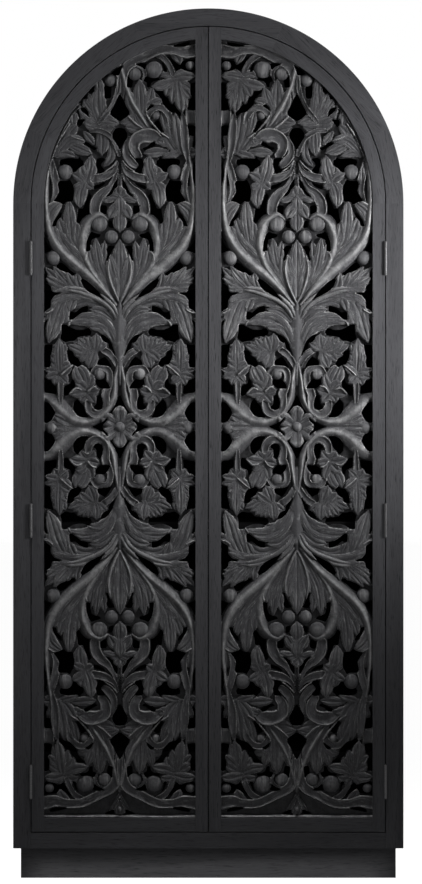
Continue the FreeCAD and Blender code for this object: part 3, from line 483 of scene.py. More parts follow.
class Carving:
    """One door's carving: a fine surface on its pierced board, raised stroke by stroke."""

    def __init__(self, side, seed):
        self.node = side + "_door_carved_panel"
        self.low, self.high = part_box(self.node)
        stile_low, stile_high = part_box(side + "_door_hinge_stile")
        self.inwards = 1 if side == "left" else -1
        self.middle_x = (self.low.x + self.high.x) / 2
        foot_z = self.low.z + PANEL_TONGUE
        half_width = (self.high.x - self.low.x) / 2 - PANEL_TONGUE
        self.square_across = half_width / SQUARES_TO_STILE
        self.square_up = (stile_high.z - foot_z) / SQUARES_BELOW_SPRING
        self.flower_z = foot_z + SQUARES_BELOW_FLOWER * self.square_up
        self.foot_z = foot_z
        self.spring_z = stile_high.z
        self.half_width = half_width
        self.arch_radius = min(abs(stile_low.x), abs(stile_high.x))
        self.ground_y = stile_low.y + GROUND_DEPTH
        self.chance = random.Random(seed)
        self.berries = []
        self.shell = bmesh.new()
        self.divide_front()
        self.heights = np.full(len(self.points), BASE_HEIGHT)
        self.lines = np.full(len(self.points), 0.5)
        self.along = np.zeros(len(self.points))
        self.rims = np.zeros(len(self.points))

    def front_faces(self):
        front = self.low.y
        return [face for face in self.shell.faces
                if all(abs(corner.co.y - front) < TOUCHING for corner in face.verts)]

    def outline_edges(self):
        """The edges where the front meets the walls of the board and its piercings."""
        front = set(self.front_faces())
        return [edge for edge in self.shell.edges
                if sum(face in front for face in edge.link_faces) == 1]

    def divide_front(self):
        """Takes the board from the model and gives it a front of small even triangles."""
        shell = self.shell
        shell.from_mesh(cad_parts[self.node].data)
        # A new layer makes every corner found before it unusable, so the layers come first.
        self.layers = [shell.verts.layers.float.new(name) for name in LAYERS]
        bmesh.ops.remove_doubles(shell, verts=shell.verts, dist=TOUCHING)
        cuts = {}
        for edge in self.outline_edges():
            cuts.setdefault(int(edge.calc_length() / OUTLINE_STEP), []).append(edge)
        for count, edges in cuts.items():
            if count > 0:
                bmesh.ops.subdivide_edges(shell, edges=edges, cuts=count)
        edges = self.outline_edges()
        corners = list(dict.fromkeys(corner for edge in edges for corner in edge.verts))
        number = {corner: index for index, corner in enumerate(corners)}
        pairs = [(number[edge.verts[0]], number[edge.verts[1]]) for edge in edges]
        bmesh.ops.delete(shell, geom=self.front_faces(), context="FACES")
        outline = np.array([(corner.co.x, corner.co.z) for corner in corners])
        starts, ends = (outline[[pair[end] for pair in pairs]] for end in (0, 1))
        self.nearest = kdtree.KDTree(len(outline))
        for index, (x, z) in enumerate(outline):
            self.nearest.insert((x, z, 0), index)
        self.nearest.balance()

        row_height = FRONT_STEP * math.sqrt(3) / 2
        rows = []
        for row in range(1, int((self.high.z - self.low.z) / row_height) + 1):
            first = self.low.x + (row % 2) * FRONT_STEP / 2
            xs = np.arange(first, self.high.x, FRONT_STEP)
            rows.append(np.stack([xs, np.full(len(xs), self.low.z + row * row_height)], axis=1))
        lattice = np.concatenate(rows)
        lattice = lattice[inside(lattice, starts, ends)]
        clear = [self.nearest.find((x, z, 0))[2] > LATTICE_GAP * FRONT_STEP for x, z in lattice]
        self.points = np.concatenate([outline, lattice[clear]])
        flat = [Vector(place) for place in self.points]
        triangles = delaunay_2d_cdt(flat, pairs, [], 0, TOUCHING / 100)[2]
        triangles = np.array(triangles)
        middles = self.points[triangles].mean(axis=1)
        kept = (triangles.max(axis=1) >= len(outline))
        kept[~kept] = inside(middles[~kept], starts, ends)
        triangles = triangles[kept]
        one, two, three = (self.points[triangles[:, column]] for column in range(3))
        first, second = two - one, three - one
        backwards = first[:, 0] * second[:, 1] < first[:, 1] * second[:, 0]
        triangles[backwards] = triangles[backwards][:, ::-1]
        self.front = corners + [shell.verts.new((x, self.low.y, z))
                                for x, z in self.points[len(outline):].tolist()]
        for a, b, c in triangles.tolist():
            shell.faces.new((self.front[a], self.front[b], self.front[c]))

    def place(self, across, up):
        x = self.middle_x + self.inwards * across * self.square_across
        return x, self.flower_z + up * self.square_up

    def stroke(self, points, height, section, rise, outline=None, marks=VEINED):
        """Raises the surface along a line of (across, up, half width) points."""
        moved = []
        for index, (across, up, half) in enumerate(points):
            if 0 < index < len(points) - 1:
                across += self.chance.uniform(-KNIFE_WANDER, KNIFE_WANDER)
                up += self.chance.uniform(-KNIFE_WANDER, KNIFE_WANDER)
            moved.append((*self.place(across, up), half * self.square_across))
        height *= 1 + self.chance.uniform(-HEIGHT_WANDER, HEIGHT_WANDER)
        stations = even_stations(smooth_line(moved), STATION_SPACING)
        places = np.linspace(0, 1, len(stations))
        halves = stations[:, 2] * (share_at(outline, places) if outline else 1)
        low = stations[:, :2].min(axis=0) - halves.max()
        high = stations[:, :2].max(axis=0) + halves.max()
        near = np.flatnonzero(((self.points >= low) & (self.points <= high)).all(axis=1))
        spots = self.points[near]
        best = np.full(len(near), np.inf)
        across, along = np.zeros(len(near)), np.zeros(len(near))
        for index in range(len(stations) - 1):
            start = stations[index, :2]
            way = stations[index + 1, :2] - start
            offset = spots - start
            t = np.clip(offset @ way / (way @ way), 0, 1)
            gap = offset - t[:, None] * way
            distance = np.hypot(gap[:, 0], gap[:, 1])
            closer = distance < best
            best[closer] = distance[closer]
            sided = np.sign(way[0] * offset[:, 1] - way[1] * offset[:, 0]) * distance
            across[closer] = sided[closer]
            along[closer] = (index + t[closer]) / (len(stations) - 1)
        share = np.abs(across) / np.interp(along, places, halves)
        raised = height * share_at(rise, along) * share_at(section, share)
        higher = (share <= 1) & (raised > self.heights[near])
        first_line, line_rate, first_rim, rim_rate = marks
        signed = np.sign(across) * share
        self.heights[near[higher]] = raised[higher]
        self.lines[near[higher]] = first_line + line_rate * signed[higher]
        self.along[near[higher]] = along[higher] * len(stations) * STATION_SPACING
        self.rims[near[higher]] = first_rim + rim_rate * share[higher]

    def area(self, strokes, mirrorings):
        """Every stroke of a table, once for each pair of signs across and up."""
        for across_sign, up_sign in mirrorings:
            def turned(points, widening=1):
                return [(p[0] * across_sign, p[1] * up_sign, *(n * widening for n in p[2:]))
                        for p in points]

            for height, points in strokes.get("bands", []):
                self.stroke(turned(points, BAND_WIDENING), height, BAND_SECTION, BAND_RISE,
                            marks=RIMMED)
            for height, points in strokes.get("ridges", []):
                self.stroke(turned(points), height, RIDGE_SECTION, BAND_RISE,
                            marks=PLAIN if height < LOW_RIDGE else CRESTED)
            for height, points in strokes.get("leaves", []):
                self.stroke(turned(points, LEAF_WIDENING), height, LEAF_SECTION, BAND_RISE)
            for half, height, points in strokes.get("lobes", []):
                section = WIDE_LEAF_SECTION if half >= WIDE_LEAF else LEAF_SECTION
                line = [(*p, half * LOBE_WIDENING) for p in turned(points)]
                self.stroke(line, height, section, LOBE_RISE, LOBE_OUTLINE)
            for points in strokes.get("rims", []):
                line = [(*p, RIM_HALF_WIDTH) for p in turned(points)]
                self.stroke(line, RIM_HEIGHT, RIM_SECTION, BAND_RISE, marks=HIGHLIT_RUBBED_LINE)
            for across, up, radius in turned(strokes.get("berries", [])):
                self.berry(across, up, radius * BERRY_WIDENING)

    def berry(self, across, up, radius):
        x, z = self.place(across, up)
        level = self.ground_y - BERRY_LEVEL * CARVING_HEIGHT
        self.berries.append(((x, level, z), radius * self.square_across))

    def flower(self):
        """Six cleft petals round an eye."""
        for number in range(PETAL_COUNT):
            turn = math.radians(90 + 360 * number / PETAL_COUNT)
            line = [(reach * math.cos(turn), reach * math.sin(turn), PETAL_HALF_WIDTH)
                    for reach in (PETAL_ROOT, (PETAL_ROOT + PETAL_TIP) / 2, PETAL_TIP)]
            self.stroke(line, PETAL_HEIGHT, PETAL_SECTION, PETAL_RISE, PETAL_OUTLINE)
        self.berry(0, 0, FLOWER_EYE)

    def raise_front(self):
        """Moves the front to its heights, rounded towards the piercings."""
        x, z = self.points[:, 0], self.points[:, 1]
        edge = np.array([self.nearest.find((a, b, 0))[2] for a, b in self.points])
        near = 1 - np.clip(edge / EDGE_ROUNDING, 0, 1)
        # Edges along the piercings are painted pale, as rubbed wear and as a painted highlight
        rubbed = (edge < HIGHLIT_WORN_EDGE) & (self.heights > HIGHLIT_WORN_HEIGHT)
        self.rims[rubbed] = PALEST_RIM
        self.heights *= EDGE_HEIGHT + (1 - EDGE_HEIGHT) * np.sqrt(1 - near * near)
        hidden = (np.abs(x - self.middle_x) > self.half_width) | (z < self.foot_z)
        hidden |= (z > self.spring_z) & (np.hypot(x, z - self.spring_z) > self.arch_radius)
        depths = self.ground_y - self.heights * CARVING_HEIGHT
        depths[hidden] = self.low.y
        for corner, depth in zip(self.front, depths.tolist()):
            corner.co.y = depth
        values = (self.heights, self.lines, self.along, self.rims)
        for layer, numbers in zip(self.layers, values):
            for corner, number in zip(self.front, numbers.tolist()):
                corner[layer] = number
        self.sharpen_back()

    def sharpen_back(self):
        """Keeps the board's flat back apart from the walls of its piercings in the shading."""
        self.shell.normal_update()
        back = {face for face in self.shell.faces if face.normal.y > FLAT_BACK}
        for edge in self.shell.edges:
            edge.smooth = sum(face in back for face in edge.link_faces) != 1

    def part(self, name, low_z, high_z):
        """A closed length of the carved board between two heights."""
        shell = self.shell.copy()
        for z, way in ((low_z, 1), (high_z, -1)):
            if self.low.z < z < self.high.z:
                everything = shell.verts[:] + shell.edges[:] + shell.faces[:]
                bmesh.ops.bisect_plane(shell, geom=everything, plane_co=(0, 0, z),
                                       plane_no=(0, 0, way), clear_inner=True)
                cut = [edge for edge in shell.edges if edge.is_boundary]
                bmesh.ops.holes_fill(shell, edges=cut)
                for edge in cut:
                    edge.smooth = False
        bmesh.ops.triangulate(shell, faces=[face for face in shell.faces if len(face.verts) > 3])
        mesh = bpy.data.meshes.new(name)
        shell.to_mesh(mesh)
        shell.free()
        for polygon in mesh.polygons:
            polygon.use_smooth = True
        return mesh


def linked(name, data):
    """A new object in the scene."""
    thing = bpy.data.objects.new(name, data)
    bpy.context.scene.collection.objects.link(thing)
    return thing


# Node trees


def socket(group, name, kind, way="INPUT", value=None):
    made = group.interface.new_socket(name, in_out=way, socket_type="NodeSocket" + kind)
    if value is not None:
        made.default_value = value


def fill(tree, node, inputs):
    """Sets a node's inputs, and links those whose value is another node's output."""
    for key, value in inputs.items():
        if hasattr(value, "is_output"):
            tree.links.new(value, node.inputs[key])
        else:
            node.inputs[key].default_value = value


def add(tree, kind, inputs=None, **settings):
    """A node with its settings, and its inputs by name or number."""
    node = tree.nodes.new(kind)
    for key, value in settings.items():
        setattr(node, key, value)
    fill(tree, node, inputs or {})
    return node


def maths(tree, operation, first, second, clamp=False):
    node = add(tree, "ShaderNodeMath", {0: first, 1: second}, operation=operation,
               use_clamp=clamp)
    return node.outputs[0]


def times(tree, first, second, clamp=False):
    return maths(tree, "MULTIPLY", first, second, clamp)


def noise(tree, vector, scale, detail, **more):
    node = add(tree, "ShaderNodeTexNoise", {
        "Vector": vector, "Scale": scale, "Detail": detail, **more})
    return node.outputs["Fac"]


def stretched(tree, vector, across, along):
    """A pattern's place, at one scale across the grain and another along it."""
    return add(tree, "ShaderNodeVectorMath", {0: vector, 1: (across, across, along)},
               operation="MULTIPLY").outputs[0]


def remap(tree, value, from_low, from_high, to_low, to_high):
    node = add(tree, "ShaderNodeMapRange", inputs={
        "Value": value, "From Min": from_low, "From Max": from_high,
        "To Min": to_low, "To Max": to_high})
    return node.outputs["Result"]


def mixed_colour(tree, factor, first, second):
    return add(tree, "ShaderNodeMix", {0: factor, 6: first, 7: second}, data_type="RGBA").outputs[2]


def node_group(name, kind, inputs, outputs, output_kind):
    """A group of nodes, its entry and its way out. Each input has its kind and its value."""
    group = bpy.data.node_groups.new(name, kind)
    for label, (input_kind, value) in inputs.items():
        socket(group, label, input_kind, value=value)
    for label in outputs:
        socket(group, label, output_kind, "OUTPUT")
    return group, group.nodes.new("NodeGroupInput"), group.nodes.new("NodeGroupOutput")


def shader_group(name, numbers, outputs):
    """A group that turns a place and some numbers, with these values, into other numbers."""
    inputs = {"Vector": ("Vector", None)}
    inputs.update((label, ("Float", value)) for label, value in numbers.items())
    return node_group(name, "ShaderNodeTree", inputs, outputs, "Float")


def timber_grain_group():
    """Figure, fibres and open pores of a board whose grain runs along the pattern's Z."""
    group, entry, leave = shader_group("timber_grain", {"Fineness": 1.0},
                                       ("Figure", "Pores", "Height"))
    vector = add(group, "ShaderNodeVectorMath", operation="SCALE",
                 inputs={0: entry.outputs["Vector"], "Scale": entry.outputs["Fineness"]}).outputs[0]
    broad = noise(group, stretched(group, vector, 26, 1.6), 1.0, 3.0, Roughness=0.55,
                  Distortion=0.4)
    fibre = noise(group, stretched(group, vector, 520, 14), 1.0, 3.0, Roughness=0.6)
    pores = remap(group, noise(group, stretched(group, vector, 900, 36), 1.0, 1.0),
                  0.60, 0.72, 0.0, 1.0)
    fill(group, leave, {
        "Figure": maths(group, "ADD", times(group, broad, 0.62), times(group, fibre, 0.38)),
        "Pores": pores,
        "Height": maths(group, "SUBTRACT", fibre, pores),
    })
    return group


def wear_highlight_and_shade_group():
    """Breaks masks up with spots and scuffs: one of raised places, paler as handling rubs a stain
    off them and as a painted highlight, and one of low places, for painted shade in hollows and for
    dust.
    """
    group, entry, leave = shader_group("worn_highlit_and_shaded_stain", {"Raised": 0.0, "Amount": 0.5},
                                       ("Rubbed_And_Highlight", "Dust_And_Hollow_Shade"))
    height = entry.outputs["Raised"]
    spots = noise(group, entry.outputs["Vector"], 45.0, 4.0, Roughness=0.65)
    uneven = remap(group, spots, 0.35, 0.65, 0.45, 1.0)
    rubbed = times(group, remap(group, height, 0.78, 1.0, 0.0, 1.0), uneven)
    fill(group, leave, {
        "Rubbed_And_Highlight": times(group, rubbed, entry.outputs["Amount"], clamp=True),
        "Dust_And_Hollow_Shade": times(group, remap(group, height, 0.30, 0.62, 1.0, 0.0), uneven, clamp=True),
    })
    return group


def tool_marks_group():
    """Shallow facets such as a gouge leaves, for the carved surfaces and their ground."""
    group, entry, leave = shader_group("gouge_marks", {"Size": 120.0}, ("Height",))
    facets = add(group, "ShaderNodeTexVoronoi", feature="SMOOTH_F1", inputs={
        "Vector": entry.outputs["Vector"], "Scale": entry.outputs["Size"], "Smoothness": 0.35})
    fill(group, leave, {"Height": facets.outputs["Distance"]})
    return group


def placed(tree, group, **inputs):
    return add(tree, "ShaderNodeGroup", inputs, node_tree=group)


def cleared(owner):
    """The node tree of a material or a world, without the nodes that it starts with."""
    owner.use_nodes = True
    owner.node_tree.nodes.clear()
    return owner.node_tree


def empty_material(name):
    material = bpy.data.materials.new(name)
    tree = cleared(material)
    shader = tree.nodes.new("ShaderNodeBsdfPrincipled")
    add(tree, "ShaderNodeOutputMaterial", {"Surface": shader.outputs["BSDF"]})
    place = tree.nodes.new("ShaderNodeTexCoord").outputs["Object"]
    return material, tree, shader, place


def bump(tree, shader, height, strength, distance):
    node = add(tree, "ShaderNodeBump", {
        "Height": height, "Strength": strength, "Distance": distance})
    fill(tree, shader, {"Normal": node.outputs["Normal"]})


GRAIN = timber_grain_group()
WEAR_HIGHLIGHT_AND_SHADE = wear_highlight_and_shade_group()
GOUGE = tool_marks_group()

BLACK_STAIN = (0.032, 0.032, 0.0345, 1)
PALE_STREAK = (0.054, 0.054, 0.058, 1)
CARVED_DARK = (0.026, 0.026, 0.028, 1)
CARVED_PALE = (0.050, 0.050, 0.053, 1)
# Paler colours for rubbed ridges and rims, partly wear and partly painted highlight
RUBBED_STAIN_AND_HIGHLIGHT = (0.15, 0.15, 0.153, 1)
WORN_RIM_HIGHLIGHT = (0.25, 0.25, 0.252, 1)
# Also the painted shade in the carving's hollows and grooves, besides the pores
DEEP_BLACK = (0.0015, 0.0015, 0.0018, 1)
# The boards inside, far darker than the stain outside, as painted shade of the cabinet's inside
SHADED_INSIDE_DARK = (0.0035, 0.0035, 0.0037, 1)
SHADED_INSIDE_PALE = (0.0065, 0.0065, 0.0068, 1)
FIGURE_RANGE = (0.36, 0.66)  # of the grain's figure, from the dark streaks to the pale ones
TIMBER_SHEEN = 0.07
CARVED_SHEEN = 0.10
INSIDE_SHEEN = 0.05


def black_timber(name, turn=(0.0, 0.0, 0.0), dark=BLACK_STAIN, pale=PALE_STREAK, rough=0.46,
                 sheen=TIMBER_SHEEN):
    """Satin black stained board, its grain turned from upright by the given angles."""
    material, tree, shader, place = empty_material(name)
    along = add(tree, "ShaderNodeMapping", inputs={
        "Vector": place, "Rotation": [math.radians(angle) for angle in turn]}).outputs[0]
    grain = placed(tree, GRAIN, Vector=along).outputs
    colour = mixed_colour(tree, remap(tree, grain["Figure"], *FIGURE_RANGE, 0.0, 1.0), dark, pale)
    fill(tree, shader, {
        "Base Color": mixed_colour(tree, times(tree, grain["Pores"], 0.75), colour, DEEP_BLACK),
        "Roughness": remap(tree, grain["Figure"], 0.3, 0.7, rough + 0.07, rough - 0.05),
        "Specular IOR Level": sheen,
    })
    bump(tree, shader, grain["Height"], 0.35, 0.0004)
    return material


def inside_timber(name, turn=(0.0, 0.0, 0.0)):
    """The boards behind the doors, their black darkened with the painted shade of the cabinet's
    inside.
    """
    return black_timber(name, turn, SHADED_INSIDE_DARK, SHADED_INSIDE_PALE, 0.75, INSIDE_SHEEN)


def carved_timber():
    """The carving: stained black, paler on its ridges as rubbed wear and painted highlight, and
    darkened in its hollows with painted shade.
    """
    material, tree, shader, place = empty_material("black_carved_timber")
    raised, lines, along, edges = (
        add(tree, "ShaderNodeAttribute", attribute_name=name).outputs["Fac"] for name in LAYERS)
    grain = placed(tree, GRAIN, Vector=place, Fineness=0.8).outputs
    rubbed = placed(tree, WEAR_HIGHLIGHT_AND_SHADE, Vector=place, Raised=raised, Amount=0.75).outputs
    gouge = placed(tree, GOUGE, Vector=place, Size=150.0).outputs
    # Streaks that follow the stroke, shifted from place to place so that no two are alike
    followed = add(tree, "ShaderNodeCombineXYZ", {
        "X": times(tree, lines, 2.6), "Y": times(tree, along, 34.0)})
    shifted = add(tree, "ShaderNodeVectorMath", operation="MULTIPLY_ADD",
                  inputs={0: place, 1: (12, 12, 12), 2: followed.outputs[0]}).outputs[0]
    streak = noise(tree, shifted, 1.0, 4.0, Roughness=0.62)
    scraped = times(tree, remap(tree, streak, 0.53, 0.68, 0.0, 0.85),
                    remap(tree, raised, 0.4, 0.85, 0.1, 1.0))
    # A thin groove at each whole number of the lines, fading in and out along the stroke, darkened
    # with painted shade
    fading = noise(tree, place, 70.0, 2.0)
    groove = times(tree, remap(tree, maths(tree, "PINGPONG", lines, 0.5), 0.0, 0.13, 1.0, 0.0),
                   remap(tree, fading, 0.38, 0.62, 0.15, 1.0))
    # A fine raised rim just inside each stroke's edge, paler where it is high, as wear and as a
    # painted highlight
    rim = times(tree, remap(tree, edges, 0.70, 0.84, 0.0, 1.0),
                remap(tree, edges, 0.90, 1.0, 1.0, 0.0))
    worn_rim_highlight = times(tree, rim, remap(tree, raised, 0.25, 0.6, 0.0, 0.75))
    worn_rim_highlight = times(tree, worn_rim_highlight, remap(tree, fading, 0.42, 0.6, 0.25, 1.0))
    tone = remap(tree, grain["Figure"], *FIGURE_RANGE, 0.0, 1.0)
    colour = mixed_colour(tree, tone, CARVED_DARK, CARVED_PALE)
    # The pale ridges and rims are wear and painted highlight; the black in hollows and grooves is
    # painted shade, and in pores the grain's own.
    for amount, other in (
        (scraped, RUBBED_STAIN_AND_HIGHLIGHT),
        (rubbed["Rubbed_And_Highlight"], RUBBED_STAIN_AND_HIGHLIGHT),
        (rubbed["Dust_And_Hollow_Shade"], DEEP_BLACK),
        (worn_rim_highlight, WORN_RIM_HIGHLIGHT),
        (times(tree, groove, 0.6), DEEP_BLACK),
        (times(tree, grain["Pores"], 0.5), DEEP_BLACK),
    ):
        colour = mixed_colour(tree, amount, colour, other)
    fill(tree, shader, {
        "Base Color": colour,
        "Roughness": remap(tree, raised, 0.4, 1.0, 0.55, 0.34),
        "Specular IOR Level": CARVED_SHEEN,
    })
    height = maths(tree, "ADD", times(tree, streak, 0.6), times(tree, gouge["Height"], 0.5))
    height = maths(tree, "SUBTRACT", height, times(tree, groove, 0.6))
    height = maths(tree, "ADD", height, times(tree, rim, 0.8))
    bump(tree, shader, height, 0.85, 0.0011)
    return material


def dark_steel(name, dark, pale, rough, metallic):
    """Brushed and darkened steel with rubbed spots."""
    material, tree, shader, place = empty_material(name)
    lines = noise(tree, stretched(tree, place, 260, 2600), 1.0, 2.0)
    dust = placed(tree, WEAR_HIGHLIGHT_AND_SHADE, Vector=place, Raised=lines, Amount=1.0).outputs["Dust_And_Hollow_Shade"]
    fill(tree, shader, {
        "Base Color": mixed_colour(tree, remap(tree, lines, 0.35, 0.7, 0.0, 1.0), dark, pale),
        "Roughness": remap(tree, maths(tree, "ADD", lines, dust), 0.3, 1.3,
                           rough - 0.06, rough + 0.12),
        "Metallic": metallic,
    })
    bump(tree, shader, lines, 0.2, 0.0001)
    return material


def black_moulding():
    """Matt plastic of the catch housings, with a fine spark-eroded texture."""
    material, tree, shader, place = empty_material("black_moulding")
    speck = noise(tree, place, 1400.0, 2.0)
    tone = remap(tree, speck, 0.35, 0.65, 0.0, 1.0)
    fill(tree, shader, {
        "Base Color": mixed_colour(tree, tone, (0.022, 0.022, 0.022, 1), (0.034, 0.034, 0.034, 1)),
        "Roughness": remap(tree, speck, 0.3, 0.7, 0.5, 0.64),
    })
    bump(tree, shader, speck, 0.3, 0.0001)
    return material


UPRIGHT = black_timber("black_timber_upright")
LEVEL = black_timber("black_timber_level", (0, 90, 0))
DEEP = black_timber("black_timber_front_to_back", (90, 0, 0))
INSIDE_LEVEL = inside_timber("inside_timber_level", (0, 90, 0))
INSIDE_UPRIGHT = inside_timber("inside_timber_upright")
INSIDE_DEEP = inside_timber("inside_timber_front_to_back", (90, 0, 0))
ARCH_TURNS = {"springer": 11.25, "shoulder": 45.0, "crown": 78.75}
ARCH_TIMBER = {
    (name, side): black_timber("black_timber_%s_%s" % (name, side),
                               (0, -turn if side == "left" else turn, 0))
    for name, turn in ARCH_TURNS.items()
    for side in SIDES
}
CARVED = carved_timber()
HINGE_STEEL = dark_steel("darkened_hinge_steel", (0.025, 0.025, 0.026, 1), (0.06, 0.06, 0.062, 1),
                         0.5, 0.6)
SCREW_STEEL = dark_steel("darkened_screw_steel", (0.10, 0.10, 0.10, 1), (0.2, 0.2, 0.2, 1),
                         0.38, 0.9)
ZINC = dark_steel("zinc_plated_sheet", (0.36, 0.36, 0.37, 1), (0.5, 0.5, 0.51, 1), 0.34, 1.0)
MOULDING = black_moulding()


def timber_for(node):
    """The board finish whose grain follows the piece."""
    side = "left" if "left" in node else "right"
    for name in ARCH_TURNS:
        if name in node and node != "frame_crown":
            return ARCH_TIMBER[name, side]
    if node.startswith(("plinth_left", "plinth_right", "arch_shell")):
        return DEEP
    if node.startswith("shelf_cleats"):
        return INSIDE_DEEP
    if node.startswith(("shelf", "wall_rail", "bottom_board")):
        return INSIDE_LEVEL
    if node.startswith(("back_panel", "plinth_corner_blocks")):
        return INSIDE_UPRIGHT
    if "rail" in node or node.startswith(("plinth", "frame_crown")):
        return LEVEL
    return UPRIGHT


def finish_for(node):
    if "hinge_" in node and ("leaf" in node or "pins" in node):
        return HINGE_STEEL
    if "strike" in node:
        return ZINC
    if "catch" in node:
        return MOULDING
    return timber_for(node)


EASED_EDGE = 0.0007


def ease_edges(thing):
    """Takes the sharpness off a board's edges, so that they catch the light."""
    weld = thing.modifiers.new("join_corners", "WELD")
    weld.merge_threshold = TOUCHING
    bevel = thing.modifiers.new("eased_edges", "BEVEL")
    bevel.width = EASED_EDGE
    bevel.segments = 2
    bevel.limit_method = "ANGLE"
    bevel.angle_limit = math.radians(50)
    bevel.harden_normals = False


def is_board(node):
    """Whether the piece's edges are eased: not metal, moulding, screws or a carved panel."""
    timber = finish_for(node) not in (HINGE_STEEL, ZINC, MOULDING)
    return timber and "panel" not in node and "screw" not in node


def finish_cad_nodes():
    for name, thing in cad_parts.items():
        thing.data.materials.clear()
        thing.data.materials.append(finish_for(name))
        if is_board(name):
            ease_edges(thing)


def geometry_tree(name, inputs):
    """A geometry node tree with its named inputs, its entry and its way out."""
    inputs = {"Geometry": ("Geometry", None), **inputs}
    return node_group(name, "GeometryNodeTree", inputs, ("Geometry",), "Geometry")


def stored(tree, geometry, name, value):
    """The geometry, with a named number on each of its corners."""
    node = add(tree, "GeometryNodeStoreNamedAttribute", data_type="FLOAT", domain="POINT",
               inputs={"Geometry": geometry, "Name": name, "Value": value})
    return node.outputs["Geometry"]


def set_on_points(tree, entry, leave, piece, smooth, **placing):
    """Sends the piece out on each point, as a plain mesh in the tree's material."""
    spread = add(tree, "GeometryNodeInstanceOnPoints", {
        "Points": entry.outputs["Geometry"], "Instance": piece, **placing})
    shown = add(tree, "GeometryNodeRealizeInstances", {"Geometry": spread.outputs[0]})
    if smooth:
        shown = add(tree, "GeometryNodeSetShadeSmooth", {"Geometry": shown.outputs[0]})
    finished = add(tree, "GeometryNodeSetMaterial", {
        "Geometry": shown.outputs[0], "Material": entry.outputs["Material"]})
    fill(tree, leave, {"Geometry": finished.outputs[0]})


def berry_tree():
    """Puts a half-sunk flattened ball, as wide as the point's radius says, at each point."""
    tree, entry, leave = geometry_tree("carved_berries", {
        "Segments": ("Int", 14),
        "Rings": ("Int", 8),
        "Height": ("Float", 0.0072),
        "Material": ("Material", None),
    })
    ball = add(tree, "GeometryNodeMeshUVSphere", {
        "Segments": entry.outputs["Segments"], "Rings": entry.outputs["Rings"], "Radius": 1.0})
    facing = add(tree, "GeometryNodeTransform", {
        "Geometry": ball.outputs["Mesh"], "Rotation": (math.radians(90), 0, 0)})
    place = tree.nodes.new("GeometryNodeInputPosition")
    parts = add(tree, "ShaderNodeSeparateXYZ", {0: place.outputs[0]}).outputs
    # The height share also makes the berry's top pale as wear and a painted highlight, and its low
    # sides dark as painted shade
    raised = stored(tree, facing.outputs[0], "carve",
                    remap(tree, parts["Y"], 0.0, -1.0, BERRY_LEVEL, BERRY_TOP))
    # Well away from the nearest groove, so that a berry has fine streaks and nothing deeper.
    marked = stored(tree, raised, "lines", remap(tree, parts["X"], -1.0, 1.0, 0.15, 0.85))
    radius = add(tree, "GeometryNodeInputNamedAttribute", {"Name": "radius"},
                 data_type="FLOAT").outputs["Attribute"]
    size = add(tree, "ShaderNodeCombineXYZ", {
        "X": radius, "Y": entry.outputs["Height"], "Z": radius})
    set_on_points(tree, entry, leave, marked, True, Scale=size.outputs[0])
    return tree


def screw_tree():
    """Puts a countersunk screw with a cross slot at each point, turned by its vector."""
    tree, entry, leave = geometry_tree("hinge_screws", {
        "Head Radius": ("Float", 0.0031),
        "Head Height": ("Float", 0.0012),
        "Shank Radius": ("Float", 0.0016),
        "Shank Length": ("Float", 0.018),
        "Slot Width": ("Float", 0.0007),
        "Slot Depth": ("Float", 0.0008),
        "Material": ("Material", None),
    })
    sizes = entry.outputs
    head = add(tree, "GeometryNodeMeshCone", {
        "Vertices": 20, "Radius Top": sizes["Shank Radius"], "Radius Bottom": sizes["Head Radius"],
        "Depth": sizes["Head Height"]})
    cut = add(tree, "GeometryNodeMeshBoolean", operation="DIFFERENCE", solver="EXACT",
              inputs={"Mesh 1": head.outputs["Mesh"]})
    long, thin = times(tree, sizes["Head Radius"], 1.15), sizes["Slot Width"]
    deep = times(tree, sizes["Slot Depth"], 2.0)
    for width, length in ((long, thin), (thin, long)):
        size = add(tree, "ShaderNodeCombineXYZ", {"X": width, "Y": length, "Z": deep})
        bar = add(tree, "GeometryNodeMeshCube", {"Size": size.outputs[0]})
        tree.links.new(bar.outputs["Mesh"], cut.inputs["Mesh 2"])
    shank = add(tree, "GeometryNodeMeshCylinder", {
        "Vertices": 14, "Radius": sizes["Shank Radius"], "Depth": sizes["Shank Length"]})
    # The shank runs inwards from its end, and starts below the slot.
    sunk = shank.outputs["Mesh"]
    for label, share in (("Shank Length", 0.5), ("Slot Depth", 1.25)):
        shift = add(tree, "ShaderNodeCombineXYZ", {"Z": times(tree, sizes[label], share)})
        sunk = add(tree, "GeometryNodeTransform", {
            "Geometry": sunk, "Translation": shift.outputs[0]}).outputs[0]
    whole = tree.nodes.new("GeometryNodeJoinGeometry")
    for piece in (cut.outputs["Mesh"], sunk):
        tree.links.new(piece, whole.inputs[0])
    way = add(tree, "GeometryNodeInputNamedAttribute", {"Name": "way"},
              data_type="FLOAT_VECTOR")
    turn = add(tree, "FunctionNodeAlignRotationToVector", {"Vector": way.outputs["Attribute"]},
               axis="Z")
    set_on_points(tree, entry, leave, whole.outputs[0], False, Rotation=turn.outputs[0])
    return tree


